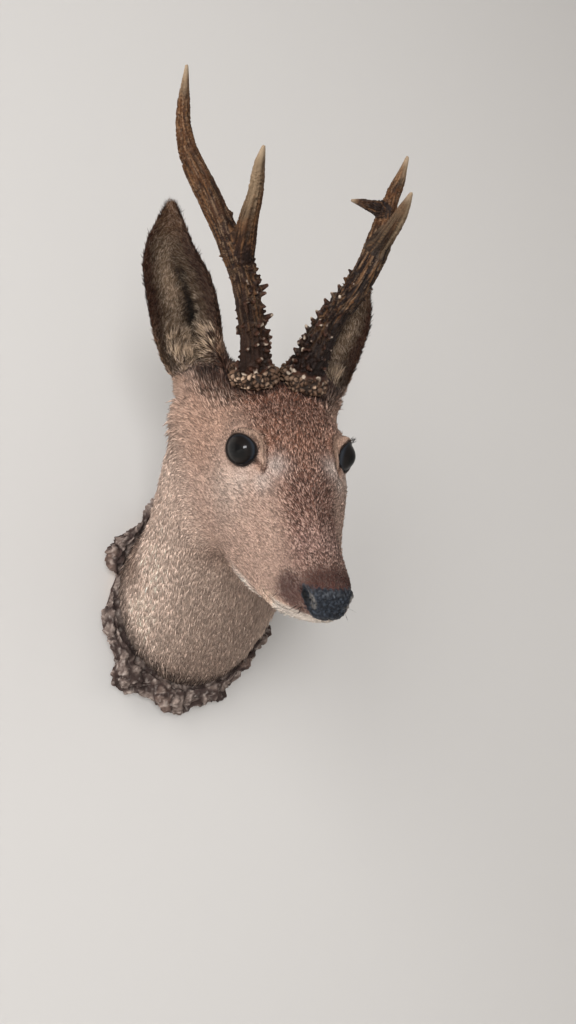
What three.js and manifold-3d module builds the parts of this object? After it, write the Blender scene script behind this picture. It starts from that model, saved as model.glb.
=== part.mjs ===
// A roe buck's head and neck, mounted on a bark slab that hangs on a wall.
// Millimetres, +Z up. The wall is the plane y = 0, and the mount stands out of it towards -Y.
// The origin is the middle of the board's back face. "Right" and "left" are the buck's own sides.
import * as THREE from "three";
import { mergeVertices } from "three/addons/utils/BufferGeometryUtils.js";
import Module from "manifold-3d";

const wasm = await Module();
wasm.setup();
const { Manifold, Mesh: SolidMesh } = wasm;

// ---- Driving dimensions -------------------------------------------------------------------

const GAP = 0.4; // between touching pieces

// The board: an upright oval with a flat back, and the bark that rings its front.
const BOARD = { halfWidth: 64, halfHeight: 86, thickness: 12 };
const BARK = { x: 0, halfWidth: 80, halfHeight: 100, depth: 16 };

// The head's own frame: x to the buck's right, y forward along the jaw line, z up,
// with its origin midway between the eyes.
const HEAD_PLACE = new THREE.Vector3(-16, -242, 70);
const HEAD_YAW = 10; // degrees, nose towards the viewer's left
const JAW_DROP = 46; // degrees, jaw line below the horizontal

const EYE = { x: 34.5, y: 1, z: 1, radius: 12.6 };
const PEDICLE = { radius: 13 };
const BURR = { radius: 18.5, height: 11 };

// The neck: from inside the back of the head to the bark's front.
const NECK_TOP = { along: -40, drop: -24 };
const NECK_BASE = { x: 1, z: 2 };
const NECK_STATIONS = [
  { halfWidth: 44, above: 45, below: 34 },
  { halfWidth: 72, above: 66, below: 57 },
  { halfWidth: 72, above: 68, below: 66 },
  { halfWidth: 70.5, above: 71, below: 70 },
  { halfWidth: 71, above: 77, below: 76 },
  { halfWidth: 72, above: 84, below: 83 },
];

// Cuts that part the head, as places along the jaw line.
const MUZZLE_CUT = 56;
const NOSE_CUT = 110.5;
const MOUTH = { z: -55, rise: 3 }; // the mouth line's height, and its slope up towards the ears in degrees
const HEAD_CUT = { y: -54, z: -22, lean: 27 };
const NECK_CUT = 0.58; // share of the neck's length from the head

const COLOURS = {
  coat: 0xa5866c,
  ear: 0x6f5a48,
  nose: 0x26262c,
  eye: 0x120d0b,
  antler: 0x5a4030,
  tine: 0xb79e78,
  bark: 0x4a3a33,
  board: 0xa98560,
};

// ---- Frames -------------------------------------------------------------------------------

const radians = THREE.MathUtils.degToRad;
const vec = (x, y, z) => new THREE.Vector3(x, y, z);

// Head frame to part frame: half a turn about z, the nose dropped, then the yaw.
const headMatrix = new THREE.Matrix4()
  .makeTranslation(HEAD_PLACE)
  .multiply(new THREE.Matrix4().makeRotationZ(radians(180 - HEAD_YAW)))
  .multiply(new THREE.Matrix4().makeRotationX(radians(-JAW_DROP)));
const fromHead = (x, y, z) => vec(x, y, z).applyMatrix4(headMatrix);
const headTurn = (x, y, z) => vec(x, y, z).transformDirection(headMatrix);

// ---- Solids -------------------------------------------------------------------------------

function solidOf(geometry) {
  const bare = geometry.clone();
  bare.deleteAttribute("normal");
  bare.deleteAttribute("uv");
  const merged = mergeVertices(bare, 1e-4);
  const solid = new Manifold(
    new SolidMesh({
      numProp: 3,
      vertProperties: new Float32Array(merged.attributes.position.array),
      triVerts: new Uint32Array(merged.index.array),
    }),
  );
  return solid;
}

function geometryOf(solid) {
  const { numProp, numVert, vertProperties, triVerts } = solid.getMesh();
  const positions = new Float32Array(numVert * 3);
  for (let i = 0; i < numVert; i++)
    positions.set(vertProperties.subarray(i * numProp, i * numProp + 3), i * 3);
  const geometry = new THREE.BufferGeometry();
  geometry.setAttribute("position", new THREE.BufferAttribute(positions, 3));
  geometry.setIndex(new THREE.BufferAttribute(triVerts, 1));
  geometry.computeVertexNormals();
  return geometry;
}

const placed = (geometry, matrix) => solidOf(geometry.clone().applyMatrix4(matrix));

// A closed skin over rings of points that all have the same count, with a fan at each end.
function loft(rings) {
  const count = rings[0].length;
  const positions = [];
  const index = [];
  for (const ring of rings) for (const p of ring) positions.push(p.x, p.y, p.z);
  for (let r = 0; r + 1 < rings.length; r++)
    for (let i = 0; i < count; i++) {
      const a = r * count + i;
      const b = r * count + ((i + 1) % count);
      index.push(a, b, a + count, b, b + count, a + count);
    }
  for (const r of [0, rings.length - 1]) {
    const middle = vec(0, 0, 0);
    for (const p of rings[r]) middle.addScaledVector(p, 1 / count);
    const hub = positions.length / 3;
    positions.push(middle.x, middle.y, middle.z);
    for (let i = 0; i < count; i++) {
      const a = r * count + i;
      const b = r * count + ((i + 1) % count);
      if (r === 0) index.push(b, a, hub);
      else index.push(a, b, hub);
    }
  }
  const geometry = new THREE.BufferGeometry();
  geometry.setAttribute("position", new THREE.Float32BufferAttribute(positions, 3));
  geometry.setIndex(index);
  let solid = solidOf(geometry);
  if (solid.volume() < 0) {
    for (let i = 0; i < index.length; i += 3) [index[i], index[i + 1]] = [index[i + 1], index[i]];
    geometry.setIndex(index);
    solid = solidOf(geometry);
  }
  return solid;
}

// A box that stands on a plane: its near face goes through `point`, and it reaches `depth` along `normal`.
function slab(point, normal, width, height, depth) {
  const turn = new THREE.Quaternion().setFromUnitVectors(vec(0, 0, 1), normal.clone().normalize());
  const middle = point.clone().addScaledVector(normal.clone().normalize(), depth / 2);
  const matrix = new THREE.Matrix4().compose(middle, turn, vec(1, 1, 1));
  return placed(new THREE.BoxGeometry(width, height, depth), matrix);
}

// The two sides of a thin plane cut: [the side that `normal` points away from, the side it points to].
function part(solid, point, normal) {
  const n = normal.clone().normalize();
  const half = 900;
  const ahead = slab(point.clone().addScaledVector(n, -GAP / 2), n, half, half, half);
  const behind = slab(point.clone().addScaledVector(n, GAP / 2), n.clone().negate(), half, half, half);
  return [solid.subtract(ahead), solid.subtract(behind)];
}

// Smooth curve through the named sizes of a table of stations, at a share 0 to 1 of the table's length.
function sizesAt(stations, share) {
  const place = share * (stations.length - 1);
  const i = Math.min(Math.floor(place), stations.length - 2);
  const t = place - i;
  const at = (k) => stations[Math.max(0, Math.min(stations.length - 1, k))];
  const out = {};
  for (const key of Object.keys(stations[0])) {
    const [a, b, c, d] = [at(i - 1)[key], at(i)[key], at(i + 1)[key], at(i + 2)[key]];
    out[key] = 0.5 * (2 * b + (c - a) * t + (2 * a - 5 * b + 4 * c - d) * t * t + (3 * b - a - 3 * c + d) * t ** 3);
  }
  return out;
}

const bell = (distance, width) => Math.exp(-((distance / width) ** 2));

// ---- The head -----------------------------------------------------------------------------

// Sizes of the head across its length: the heights of its top and bottom lines, and half its width
// at the crown, at the brow or nostril, at the cheek or lip, and at the jaw.
const HEAD_STATIONS = [
  { y: 122, top: -38, bottom: -49, crown: 4, brow: 6, cheek: 5, jaw: 3 },
  { y: 119.5, top: -33, bottom: -54.5, crown: 8.5, brow: 11.5, cheek: 10, jaw: 6 },
  { y: 113, top: -29, bottom: -60, crown: 11.5, brow: 15.5, cheek: 15, jaw: 9.5 },
  { y: 101, top: -25, bottom: -67.5, crown: 12.5, brow: 17.5, cheek: 19.5, jaw: 15.5 },
  { y: 86, top: -19.5, bottom: -76, crown: 13, brow: 20, cheek: 25, jaw: 21.5 },
  { y: 68, top: -11.5, bottom: -82, crown: 15, brow: 23, cheek: 29.5, jaw: 25.5 },
  { y: 50, top: -2.5, bottom: -88.5, crown: 18.5, brow: 28, cheek: 34, jaw: 29 },
  { y: 33, top: 7, bottom: -93.5, crown: 25, brow: 35.5, cheek: 39, jaw: 32 },
  { y: 17, top: 15.5, bottom: -95.5, crown: 32, brow: 42, cheek: 43.5, jaw: 34 },
  { y: 1, top: 22, bottom: -95, crown: 36, brow: 46, cheek: 46.5, jaw: 35 },
  { y: -16, top: 26.5, bottom: -90, crown: 36.5, brow: 46.5, cheek: 47.5, jaw: 33 },
  { y: -33, top: 29, bottom: -78, crown: 34, brow: 44, cheek: 46, jaw: 31 },
  { y: -50, top: 30, bottom: -64, crown: 30, brow: 40, cheek: 41, jaw: 26 },
  { y: -64, top: 26, bottom: -44, crown: 21, brow: 30, cheek: 29, jaw: 18 },
  { y: -73, top: 9, bottom: -18, crown: 8, brow: 12, cheek: 11, jaw: 6 },
];
const HEAD_RINGS = 22;
const HEAD_SIDES = 24;

// Swellings and hollows of both sides of the face: place, size and how far the skin stands out.
const FACE_FORMS = [
  { name: "brow", x: 37, y: 4, z: 16, size: 12, out: 2.5 },
  { name: "eye hollow", x: 42, y: 8, z: 0, size: 12, out: -4.5 },
  { name: "tear pit", x: 31, y: 31, z: -9, size: 12, out: -2.5 },
  { name: "cheek bone", x: 42, y: -8, z: -20, size: 20, out: 1.5 },
  { name: "temple", x: 44, y: -50, z: 4, size: 20, out: 4 },
  { name: "jaw muscle", x: 38, y: -26, z: -42, size: 20, out: 2.5 },
  { name: "bridge side", x: 17, y: 72, z: -26, size: 17, out: -1.5 },
  { name: "upper lip", x: 20, y: 92, z: -48, size: 14, out: 1 },
];

function headRing(share) {
  const s = sizesAt(HEAD_STATIONS, share);
  const down = (part) => s.top + (s.bottom - s.top) * part;
  const side = [
    [s.crown, down(0.09)],
    [s.brow, down(0.3)],
    [s.cheek, down(0.62)],
    [s.jaw, down(0.91)],
  ];
  const outline = [vec(0, s.y, s.top)];
  for (const [x, z] of side) outline.push(vec(x, s.y, z));
  outline.push(vec(0, s.y, s.bottom));
  for (const [x, z] of [...side].reverse()) outline.push(vec(-x, s.y, z));
  const ring = new THREE.CatmullRomCurve3(outline, true, "centripetal").getSpacedPoints(HEAD_SIDES);
  ring.pop();
  for (const p of ring)
    for (const form of FACE_FORMS) {
      const place = vec(Math.sign(p.x) * form.x, form.y, form.z);
      const away = vec(p.x, 0, p.z - down(0.5)).normalize();
      p.addScaledVector(away, form.out * bell(p.distanceTo(place), form.size));
    }
  return ring.map((p) => p.applyMatrix4(headMatrix));
}

function makeHead() {
  const rings = [];
  for (let i = 0; i <= HEAD_RINGS; i++) rings.push(headRing(i / HEAD_RINGS));
  return loft(rings);
}

// ---- The neck -----------------------------------------------------------------------------

const NECK_RINGS = 14;
const NECK_SIDES = 28;
const NECK_FRONT = -(BOARD.thickness + BARK.depth) + 4; // where the neck's flat end meets the bark

function makeNeck(grow = 0) {
  const start = fromHead(0, NECK_TOP.along, NECK_TOP.drop);
  const end = vec(NECK_BASE.x, NECK_FRONT, NECK_BASE.z);
  const startUp = headTurn(0, -0.62, 0.78);
  const endUp = vec(0, 0, 1);
  const startSide = headTurn(-1, 0, 0);
  const endSide = vec(1, 0, 0);
  const spine = new THREE.CubicBezierCurve3(
    start,
    start.clone().add(vec(8, 62, -8)),
    end.clone().add(vec(0, -62, 10)),
    end,
  );
  const rings = [];
  for (let r = 0; r <= NECK_RINGS; r++) {
    const t = r / NECK_RINGS;
    const s = sizesAt(NECK_STATIONS, t);
    const centre = spine.getPoint(t);
    const up = startUp.clone().lerp(endUp, Math.min(1, t * 1.1)).normalize();
    const side = startSide.clone().lerp(endSide, t).normalize();
    side.addScaledVector(up, -side.dot(up)).normalize();
    const width = s.halfWidth + grow;
    const above = s.above + grow;
    const below = s.below + 5 * Math.sin(Math.PI * t) + grow;
    const ring = [];
    for (let i = 0; i < NECK_SIDES; i++) {
      const angle = (2 * Math.PI * i) / NECK_SIDES;
      const c = Math.cos(angle);
      const high = Math.sin(angle);
      const reach = high > 0 ? above : below;
      const narrow = high > 0 ? 1 - 0.1 * high * high : 1; // the nape is narrower than the throat
      const square = high > 0 ? 1 - 0.36 * bell(t - 0.22, 0.3) : 1; // full behind the ears
      const across = width * narrow * Math.sign(c) * Math.abs(c) ** square;
      const rise = reach * Math.sign(high) * Math.abs(high) ** square;
      ring.push(centre.clone().addScaledVector(side, across).addScaledVector(up, rise));
    }
    rings.push(ring);
  }
  return loft(rings);
}

// ---- Ears ---------------------------------------------------------------------------------

// Each ear in the head's frame: its root, its tip, and the way its open side faces.
const EARS = {
  right: {
    path: [[34, -64, 6], [52, -74, 22], [65, -82, 41], [77, -85, 76], [88, -87, 104], [91, -90, 137]],
    faces: [0.5, 0.8, 0.1],
    size: 1,
  },
  left: {
    path: [[-33, -64, 6], [-42, -75, 18], [-50, -86, 32], [-61, -102, 55], [-76, -119, 77], [-86, -135, 94]],
    faces: [-0.2, 0.8, 0.4],
    size: 0.9,
  },
};
const EAR_STATIONS = [
  { half: 15, wrap: 120, thick: 5.5 },
  { half: 18, wrap: 116, thick: 5 },
  { half: 21.5, wrap: 104, thick: 4.4 },
  { half: 25, wrap: 90, thick: 4 },
  { half: 26.5, wrap: 76, thick: 3.6 },
  { half: 25.5, wrap: 66, thick: 3.2 },
  { half: 21.5, wrap: 58, thick: 3 },
  { half: 14, wrap: 52, thick: 2.6 },
  { half: 3.5, wrap: 48, thick: 2 },
];
// The flesh that carries each cheek back into the side of the neck: balls drawn into one form.
const CHEEK_TO_NECK = [
  { place: [23, -6, -40], radius: 22 },
  { place: [29, -34, -8], radius: 19 },
  { place: [40, -66, -34], radius: 34 },
  { place: [20, -2, -60], radius: 22 },
  { place: [34, -52, -64], radius: 30 },
  { place: [23, -14, -74], radius: 19 },
  { place: [30, -44, -92], radius: 26 },
];

// The swellings the ears grow from: balls in the head's frame, each pair drawn into one form.
const EAR_BUTTS = {
  right: [
    { place: [39, -56, 0], radius: 24 },
    { place: [53, -75, 8], radius: 20 },
    { place: [54, -68, -12], radius: 21 },
  ],
  left: [{ place: [-34, -60, 2], radius: 21 }, { place: [-42, -72, 12], radius: 18 }],
};
const EAR_RINGS = 12;
const EAR_ARC = 9;

// A cupped leaf. Each cross-section is an arc that is almost a tube at the root and shallow at the tip.
const earCurve = ({ path }) =>
  new THREE.CatmullRomCurve3(path.map((p) => fromHead(...p)), false, "centripetal");

function makeEar({ path, faces, size }) {
  const curve = earCurve({ path });
  const rings = [];
  for (let r = 0; r <= EAR_RINGS; r++) {
    const t = r / EAR_RINGS;
    const s = sizesAt(EAR_STATIONS, t);
    const axis = curve.getTangentAt(t);
    const open = headTurn(...faces);
    open.addScaledVector(axis, -open.dot(axis)).normalize();
    const across = axis.clone().cross(open);
    const wrap = radians(s.wrap);
    const turn = Math.min(wrap, Math.PI / 2);
    const radius = (s.half * size) / Math.sin(turn);
    const middle = curve.getPointAt(t).addScaledVector(open, radius * Math.cos(turn));
    const point = (angle, reach) =>
      middle
        .clone()
        .addScaledVector(across, reach * Math.sin(angle))
        .addScaledVector(open, -reach * Math.cos(angle));
    const outer = [];
    const inner = [];
    for (let i = 0; i <= EAR_ARC; i++) {
      const share = (2 * i) / EAR_ARC - 1;
      const edge = s.thick * (1 - 0.45 * share ** 4);
      outer.push(point(wrap * share, radius + edge / 2));
      inner.push(point(wrap * share, radius - edge / 2));
    }
    rings.push([...outer, ...inner.reverse()]);
  }
  return loft(rings);
}

// ---- Antlers ------------------------------------------------------------------------------

// Paths in the head's frame. Each antler is one long beam, parted above its fork, with its tines set on.
const ANTLERS = {
  right: {
    beam: {
      path: [[21, -50, 30], [27.5, -51, 61], [34.5, -52, 82], [42, -53, 102], [49, -54, 114],
        [55, -56, 123.5], [60.5, -59, 132], [65.5, -62, 139], [75.5, -67, 153], [85.5, -72, 167],
        [90.5, -76, 178], [92.5, -81, 188.5], [93, -86, 202], [93, -91, 219]],
      radii: [12, 9.6, 9.4, 9.4, 9.4, 9, 8.6, 8.4, 8.2, 7.2, 5.8, 4.8, 3.6, 0.9],
    },
    parted: [70.5, -64.5, 146],
    tines: {
      front_tine: {
        path: [[46.5, -53, 117], [47.5, -50, 128.5], [48.5, -47, 141], [48.5, -41, 161], [50.5, -38, 174],
          [51, -34, 188]],
        radii: [8.6, 8, 6.8, 4.9, 4.2, 0.9],
      },
    },
  },
  left: {
    beam: {
      path: [[-15, -50, 30], [-20, -50, 62], [-29, -52, 85], [-39, -54, 102], [-47, -57, 121],
        [-52, -61, 137], [-54, -65, 151], [-55.5, -68, 165], [-60, -72, 179], [-64, -77, 196]],
      radii: [13, 11.4, 9.6, 9, 9.2, 9.8, 7.8, 6, 4.4, 1],
    },
    parted: [-55, -67, 160],
    tines: {
      front_tine: { path: [[-51, -58, 134], [-54, -51, 150], [-55.5, -44, 165], [-54, -36, 178]], radii: [7, 6, 4.4, 1] },
      rear_tine: { path: [[-51.5, -65, 160], [-47, -77, 159.5], [-43.5, -88, 159], [-39, -98, 158]], radii: [6.5, 4.3, 2.9, 0.8] },
    },
  },
};
const BRANCH_SIDES = 8;
const STEP_MM = 10;

// A round branch that follows a path, with a radius for each of the path's points.
function makeBranch({ path, radii }, grow = 0) {
  const curve = new THREE.CatmullRomCurve3(path.map((p) => fromHead(...p)), false, "centripetal");
  const steps = Math.max(5, Math.round(curve.getLength() / STEP_MM));
  const frames = curve.computeFrenetFrames(steps, false);
  const table = radii.map((radius) => ({ radius }));
  const rings = [];
  for (let i = 0; i <= steps; i++) {
    const centre = curve.getPoint(i / steps);
    const radius = sizesAt(table, i / steps).radius + grow;
    const ring = [];
    for (let k = 0; k < BRANCH_SIDES; k++) {
      const angle = (2 * Math.PI * k) / BRANCH_SIDES;
      ring.push(
        centre
          .clone()
          .addScaledVector(frames.normals[i], radius * Math.cos(angle))
          .addScaledVector(frames.binormals[i], radius * Math.sin(angle)),
      );
    }
    rings.push(ring);
  }
  return loft(rings);
}

// The burr: a lumpy collar round the foot of a beam.
function makeBurr({ beam }) {
  const foot = fromHead(...beam.path[0]);
  const axis = fromHead(...beam.path[1]).sub(foot).normalize();
  const turn = new THREE.Quaternion().setFromUnitVectors(vec(0, 1, 0), axis);
  const profile = [
    [0, 0],
    [15, 0],
    [BURR.radius - 2, 2],
    [BURR.radius, 5],
    [BURR.radius - 3, 9],
    [14, BURR.height],
    [0, BURR.height + 2],
  ].map(([r, h]) => new THREE.Vector2(r, h));
  const collar = new THREE.LatheGeometry(profile, 20);
  return placed(collar, new THREE.Matrix4().compose(foot, turn, vec(1, 1, 1)));
}

// ---- Board and bark -----------------------------------------------------------------------

function oval(halfWidth, halfHeight, y, sides, lump = () => 0) {
  const ring = [];
  for (let i = 0; i < sides; i++) {
    const angle = (2 * Math.PI * i) / sides;
    const grow = 1 + lump(angle);
    ring.push(vec(halfWidth * grow * Math.cos(angle), y, halfHeight * grow * Math.sin(angle)));
  }
  return ring;
}

// Lumps of the bark's outline: soft waves, and places that stand out or in.
const BARK_LUMPS = [
  { at: 128, out: -0.08, spread: 0.18 },
  { at: 154, out: 0.05, spread: 0.08 },
  { at: 169, out: -0.11, spread: 0.12 },
  { at: 191, out: 0.06, spread: 0.1 },
  { at: 222, out: 0.17, spread: 0.17 },
  { at: 262, out: 0.04, spread: 0.2 },
  { at: 309, out: -0.07, spread: 0.16 },
  { at: 345, out: 0.12, spread: 0.22 },
];
function barkLump(angle) {
  let lump = 0.014 * Math.sin(7 * angle + 2.1) + 0.014 * Math.sin(13 * angle + 0.3);
  lump += 0.01 * Math.sin(23 * angle + 1.7);
  for (const { at, out, spread } of BARK_LUMPS) lump += out * bell(angle - radians(at), spread);
  return lump;
}

function makeBark() {
  const sides = 54;
  const back = -(BOARD.thickness + GAP);
  const front = back - BARK.depth;
  const shrunk = (share, y) => oval(BARK.halfWidth * share, BARK.halfHeight * share, y, sides, barkLump);
  return loft([
    shrunk(0.94, back),
    shrunk(1.0, back - 4),
    shrunk(1.0, back - 9),
    shrunk(0.97, front + 4),
    shrunk(0.9, front),
    shrunk(0.8, front + 1),
    shrunk(0.7, front + 3),
  ]).translate([BARK.x, 0, 0]);
}

function makeBoard() {
  const sides = 48;
  return loft([
    oval(BOARD.halfWidth, BOARD.halfHeight, 0, sides),
    oval(BOARD.halfWidth, BOARD.halfHeight, -BOARD.thickness, sides),
  ]);
}

// ---- Assembly -----------------------------------------------------------------------------

const mount = new THREE.Group();

function addNode(name, solid, colour, roughness = 0.85, metalness = 0) {
  const material = new THREE.MeshStandardMaterial({ color: colour, roughness, metalness });
  const mesh = new THREE.Mesh(geometryOf(solid), material);
  mesh.name = name;
  mount.add(mesh);
}

// The biggest of a solid's bodies: a cut can leave slivers beside it.
function mainBody(solid) {
  return solid.decompose().sort((a, b) => b.volume() - a.volume())[0];
}

const sphere = (place, radius) =>
  placed(new THREE.SphereGeometry(radius, 16, 10), new THREE.Matrix4().makeTranslation(place));

// The neck stands in a shallow pocket in the bark.
const pocket = makeNeck(GAP).translate([0, GAP, 0]);
const bark = makeBark().subtract(pocket);
let flesh = makeHead().add(makeNeck());
for (const sign of [1, -1]) {
  const balls = CHEEK_TO_NECK.map(({ place: [x, y, z], radius }) => sphere(fromHead(sign * x, y, z), radius));
  flesh = flesh.add(Manifold.hull(balls));
}

// Sockets for the eyes and stumps for the antlers.
const eyes = {};
for (const [side, sign] of [["right", 1], ["left", -1]]) {
  const place = fromHead(sign * EYE.x, EYE.y, EYE.z);
  eyes[side] = sphere(place, EYE.radius);
  flesh = flesh.subtract(sphere(place, EYE.radius + GAP));
  const beam = ANTLERS[side].beam;
  const foot = fromHead(...beam.path[0]);
  const axis = fromHead(...beam.path[1]).sub(foot).normalize();
  const stump = new THREE.CylinderGeometry(PEDICLE.radius, PEDICLE.radius + 3, 30, 14);
  const turn = new THREE.Quaternion().setFromUnitVectors(vec(0, 1, 0), axis);
  const at = foot.clone().addScaledVector(axis, -15 - GAP);
  flesh = flesh.add(placed(stump, new THREE.Matrix4().compose(at, turn, vec(1, 1, 1))));
  const butts = EAR_BUTTS[side].map((ball) => sphere(fromHead(...ball.place), ball.radius));
  flesh = flesh.add(Manifold.hull(butts));
  const seat = new THREE.CylinderGeometry(BURR.radius + 2, BURR.radius + 2, 30, 20);
  const above = foot.clone().addScaledVector(axis, 15 - GAP);
  flesh = flesh.subtract(placed(seat, new THREE.Matrix4().compose(above, turn, vec(1, 1, 1))));
}

const headCut = { point: fromHead(0, HEAD_CUT.y, HEAD_CUT.z), normal: headTurn(0, Math.cos(radians(HEAD_CUT.lean)), Math.sin(radians(HEAD_CUT.lean))) };
const [neckSide, headSide] = part(flesh, headCut.point, headCut.normal);
const neckWhole = mainBody(neckSide);
const neckPlane = vec(0, HEAD_PLACE.y + (NECK_FRONT - HEAD_PLACE.y) * NECK_CUT + 20, 0);
const [neck, neckBase] = part(neckWhole, neckPlane, vec(0, 1, -0.25));

const forward = headTurn(0, 1, 0);
const [skull, face] = part(mainBody(headSide), fromHead(0, MUZZLE_CUT, 0), forward);
const [snout, nose] = part(face, fromHead(0, NOSE_CUT, 0), forward);
const mouthUp = headTurn(0, Math.sin(radians(MOUTH.rise)), Math.cos(radians(MOUTH.rise)));
const [lowerJaw, muzzle] = part(snout, fromHead(0, NOSE_CUT, MOUTH.z), mouthUp);
const [chinFront, nosePad] = part(nose, fromHead(0, NOSE_CUT, MOUTH.z), mouthUp);

addNode("board", makeBoard(), COLOURS.board, 0.7);
addNode("bark", bark, COLOURS.bark, 0.95);
addNode("neck_base", neckBase, COLOURS.coat);
addNode("neck", neck, COLOURS.coat);
addNode("head", mainBody(skull), COLOURS.coat);
addNode("muzzle", mainBody(muzzle), COLOURS.coat);
addNode("lower_jaw", mainBody(lowerJaw), COLOURS.coat);
addNode("chin", mainBody(chinFront), COLOURS.coat);
addNode("nose", mainBody(nosePad), COLOURS.nose, 0.45);

for (const side of ["right", "left"]) {
  addNode("eye_" + side, eyes[side], COLOURS.eye, 0.05);
  addNode("ear_" + side, mainBody(makeEar(EARS[side]).subtract(flesh)), COLOURS.ear);

  const { beam, parted, tines } = ANTLERS[side];
  const wholeBeam = makeBranch(beam);
  const splitAt = fromHead(...parted);
  const below = fromHead(...beam.path[3]);
  const [trunk, top] = part(wholeBeam, splitAt, splitAt.clone().sub(below));
  addNode("antler_" + side + "_beam", mainBody(trunk).add(makeBurr(ANTLERS[side])), COLOURS.antler, 0.6);
  addNode("antler_" + side + "_top", mainBody(top), COLOURS.tine, 0.5);
  const around = makeBranch(beam, GAP);
  for (const [name, tine] of Object.entries(tines))
    addNode("antler_" + side + "_" + name, mainBody(makeBranch(tine).subtract(around)), COLOURS.tine, 0.5);
}

export default mount;
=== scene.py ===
"""A roe buck's mounted head and neck on a bark-edged board: skin, coat, eyes, antlers, bark."""

import math

import bmesh
import bpy
import numpy as np
from mathutils import Matrix, Vector, noise


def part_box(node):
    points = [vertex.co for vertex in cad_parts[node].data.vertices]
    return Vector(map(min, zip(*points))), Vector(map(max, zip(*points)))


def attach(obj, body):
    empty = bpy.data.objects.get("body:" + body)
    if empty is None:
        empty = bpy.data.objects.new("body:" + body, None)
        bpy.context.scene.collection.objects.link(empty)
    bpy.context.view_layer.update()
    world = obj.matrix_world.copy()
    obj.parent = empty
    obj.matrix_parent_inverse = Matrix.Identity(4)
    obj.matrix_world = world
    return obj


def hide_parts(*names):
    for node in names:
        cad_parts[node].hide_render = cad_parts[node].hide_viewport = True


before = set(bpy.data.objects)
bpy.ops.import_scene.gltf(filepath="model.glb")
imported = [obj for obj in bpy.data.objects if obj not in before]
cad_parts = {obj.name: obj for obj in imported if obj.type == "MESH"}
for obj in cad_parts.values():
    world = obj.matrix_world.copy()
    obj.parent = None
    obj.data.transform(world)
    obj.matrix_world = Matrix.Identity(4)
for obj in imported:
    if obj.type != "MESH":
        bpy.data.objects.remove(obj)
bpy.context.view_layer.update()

MM = 0.001
rng = np.random.default_rng(23)


def add_object(name, data):
    """A new object, put in the scene."""
    made = bpy.data.objects.new(name, data)
    bpy.context.collection.objects.link(made)
    return made


# ---- Camera -------------------------------------------------------------------------------

CAMERA_PLACE = Vector((-0.2977, -0.7006, -0.1104))
CAMERA_RIGHT = Vector((0.862, -0.504, -0.051))
CAMERA_UP = Vector((-0.083, -0.239, 0.968))
LENS_MM = 28.3
SENSOR_MM = 36


def make_camera():
    data = bpy.data.cameras.new("camera")
    data.lens = LENS_MM
    data.sensor_width = SENSOR_MM
    data.clip_start = 0.01
    camera = add_object("camera", data)
    right = CAMERA_RIGHT.normalized()
    up = (CAMERA_UP - right * CAMERA_UP.dot(right)).normalized()
    back = right.cross(up)
    turn = Matrix((right, up, back)).transposed().to_4x4()
    camera.matrix_world = Matrix.Translation(CAMERA_PLACE) @ turn
    bpy.context.scene.camera = camera


make_camera()

# ---- Colour and number helpers ------------------------------------------------------------


def linear(hex_colour):
    """An sRGB hex colour as linear red, green and blue."""
    parts = np.array([int(hex_colour[i : i + 2], 16) / 255 for i in (0, 2, 4)])
    return np.where(parts <= 0.04045, parts / 12.92, ((parts + 0.055) / 1.055) ** 2.4)


def rgba(hex_colour):
    return (*linear(hex_colour), 1.0)


def ramp(low, high, value):
    """0 below low, 1 above high, smooth between. low may be above high."""
    t = np.clip((value - low) / (high - low), 0, 1)
    return t * t * (3 - 2 * t)


def bell(distance, width):
    return np.exp(-((distance / width) ** 2))


def toward(value, goal, weight):
    """A value moved towards a goal, by a weight from 0 to 1."""
    return value + (goal - value) * weight


def plain(hex_colour, count):
    """One colour for every point."""
    return np.tile(linear(hex_colour), (count, 1))


def layered(colours, *layers):
    """Colours with hex colours laid over them in turn, each by a weight for each point."""
    for hex_colour, weight in layers:
        colours = toward(colours, linear(hex_colour), weight[:, None])
    return colours


def unit(vectors):
    return vectors / np.maximum(np.linalg.norm(vectors, axis=-1, keepdims=True), 1e-12)


# ---- The head's frame ---------------------------------------------------------------------
# x to the buck's right, y forward along the jaw line, z up, in millimetres,
# with its origin midway between the eyes.

HEAD_PLACE = np.array((-16.0, -242.0, 70.0))
HEAD_YAW = math.radians(10)
JAW_DROP = math.radians(46)
AXES = np.array(Matrix.Rotation(math.pi - HEAD_YAW, 3, "Z") @ Matrix.Rotation(-JAW_DROP, 3, "X"))
TO_SKY = np.array((0, 0, 1.0)) @ AXES


def from_head(points):
    return (np.asarray(points, float) @ AXES.T + HEAD_PLACE) * MM


def to_head(points):
    return (np.asarray(points) / MM - HEAD_PLACE) @ AXES


def head_turn(directions):
    return np.asarray(directions, float) @ AXES.T


# ---- Curves through named points ----------------------------------------------------------

CURVE_STEPS = 400  # fine steps along a curve, before it is spaced evenly


def catmull(table, share):
    """A smooth curve through a table's rows, at shares 0 to 1 of its length."""
    table = np.asarray(table, float)
    place = np.clip(share, 0, 1) * (len(table) - 1)
    i = np.minimum(place.astype(int), len(table) - 2)
    t = (place - i)[:, None] if table.ndim > 1 else place - i
    a, b, c, d = (table[np.clip(i + k, 0, len(table) - 1)] for k in (-1, 0, 1, 2))
    line = 2 * b + (c - a) * t
    return 0.5 * (line + (2 * a - 5 * b + 4 * c - d) * t**2 + (3 * b - a - 3 * c + d) * t**3)


def even_curve(points, count):
    """Evenly spaced points along a smooth curve, with their tangents, lengths along and shares."""
    shares = np.linspace(0, 1, CURVE_STEPS)
    fine = catmull(points, shares)
    run = np.concatenate([[0], np.cumsum(np.linalg.norm(np.diff(fine, axis=0), axis=1))])
    at = np.linspace(0, run[-1], count)
    even = np.stack([np.interp(at, run, fine[:, k]) for k in range(3)], axis=1)
    return even, unit(np.gradient(even, axis=0)), at, np.interp(at, run, shares)


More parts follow.
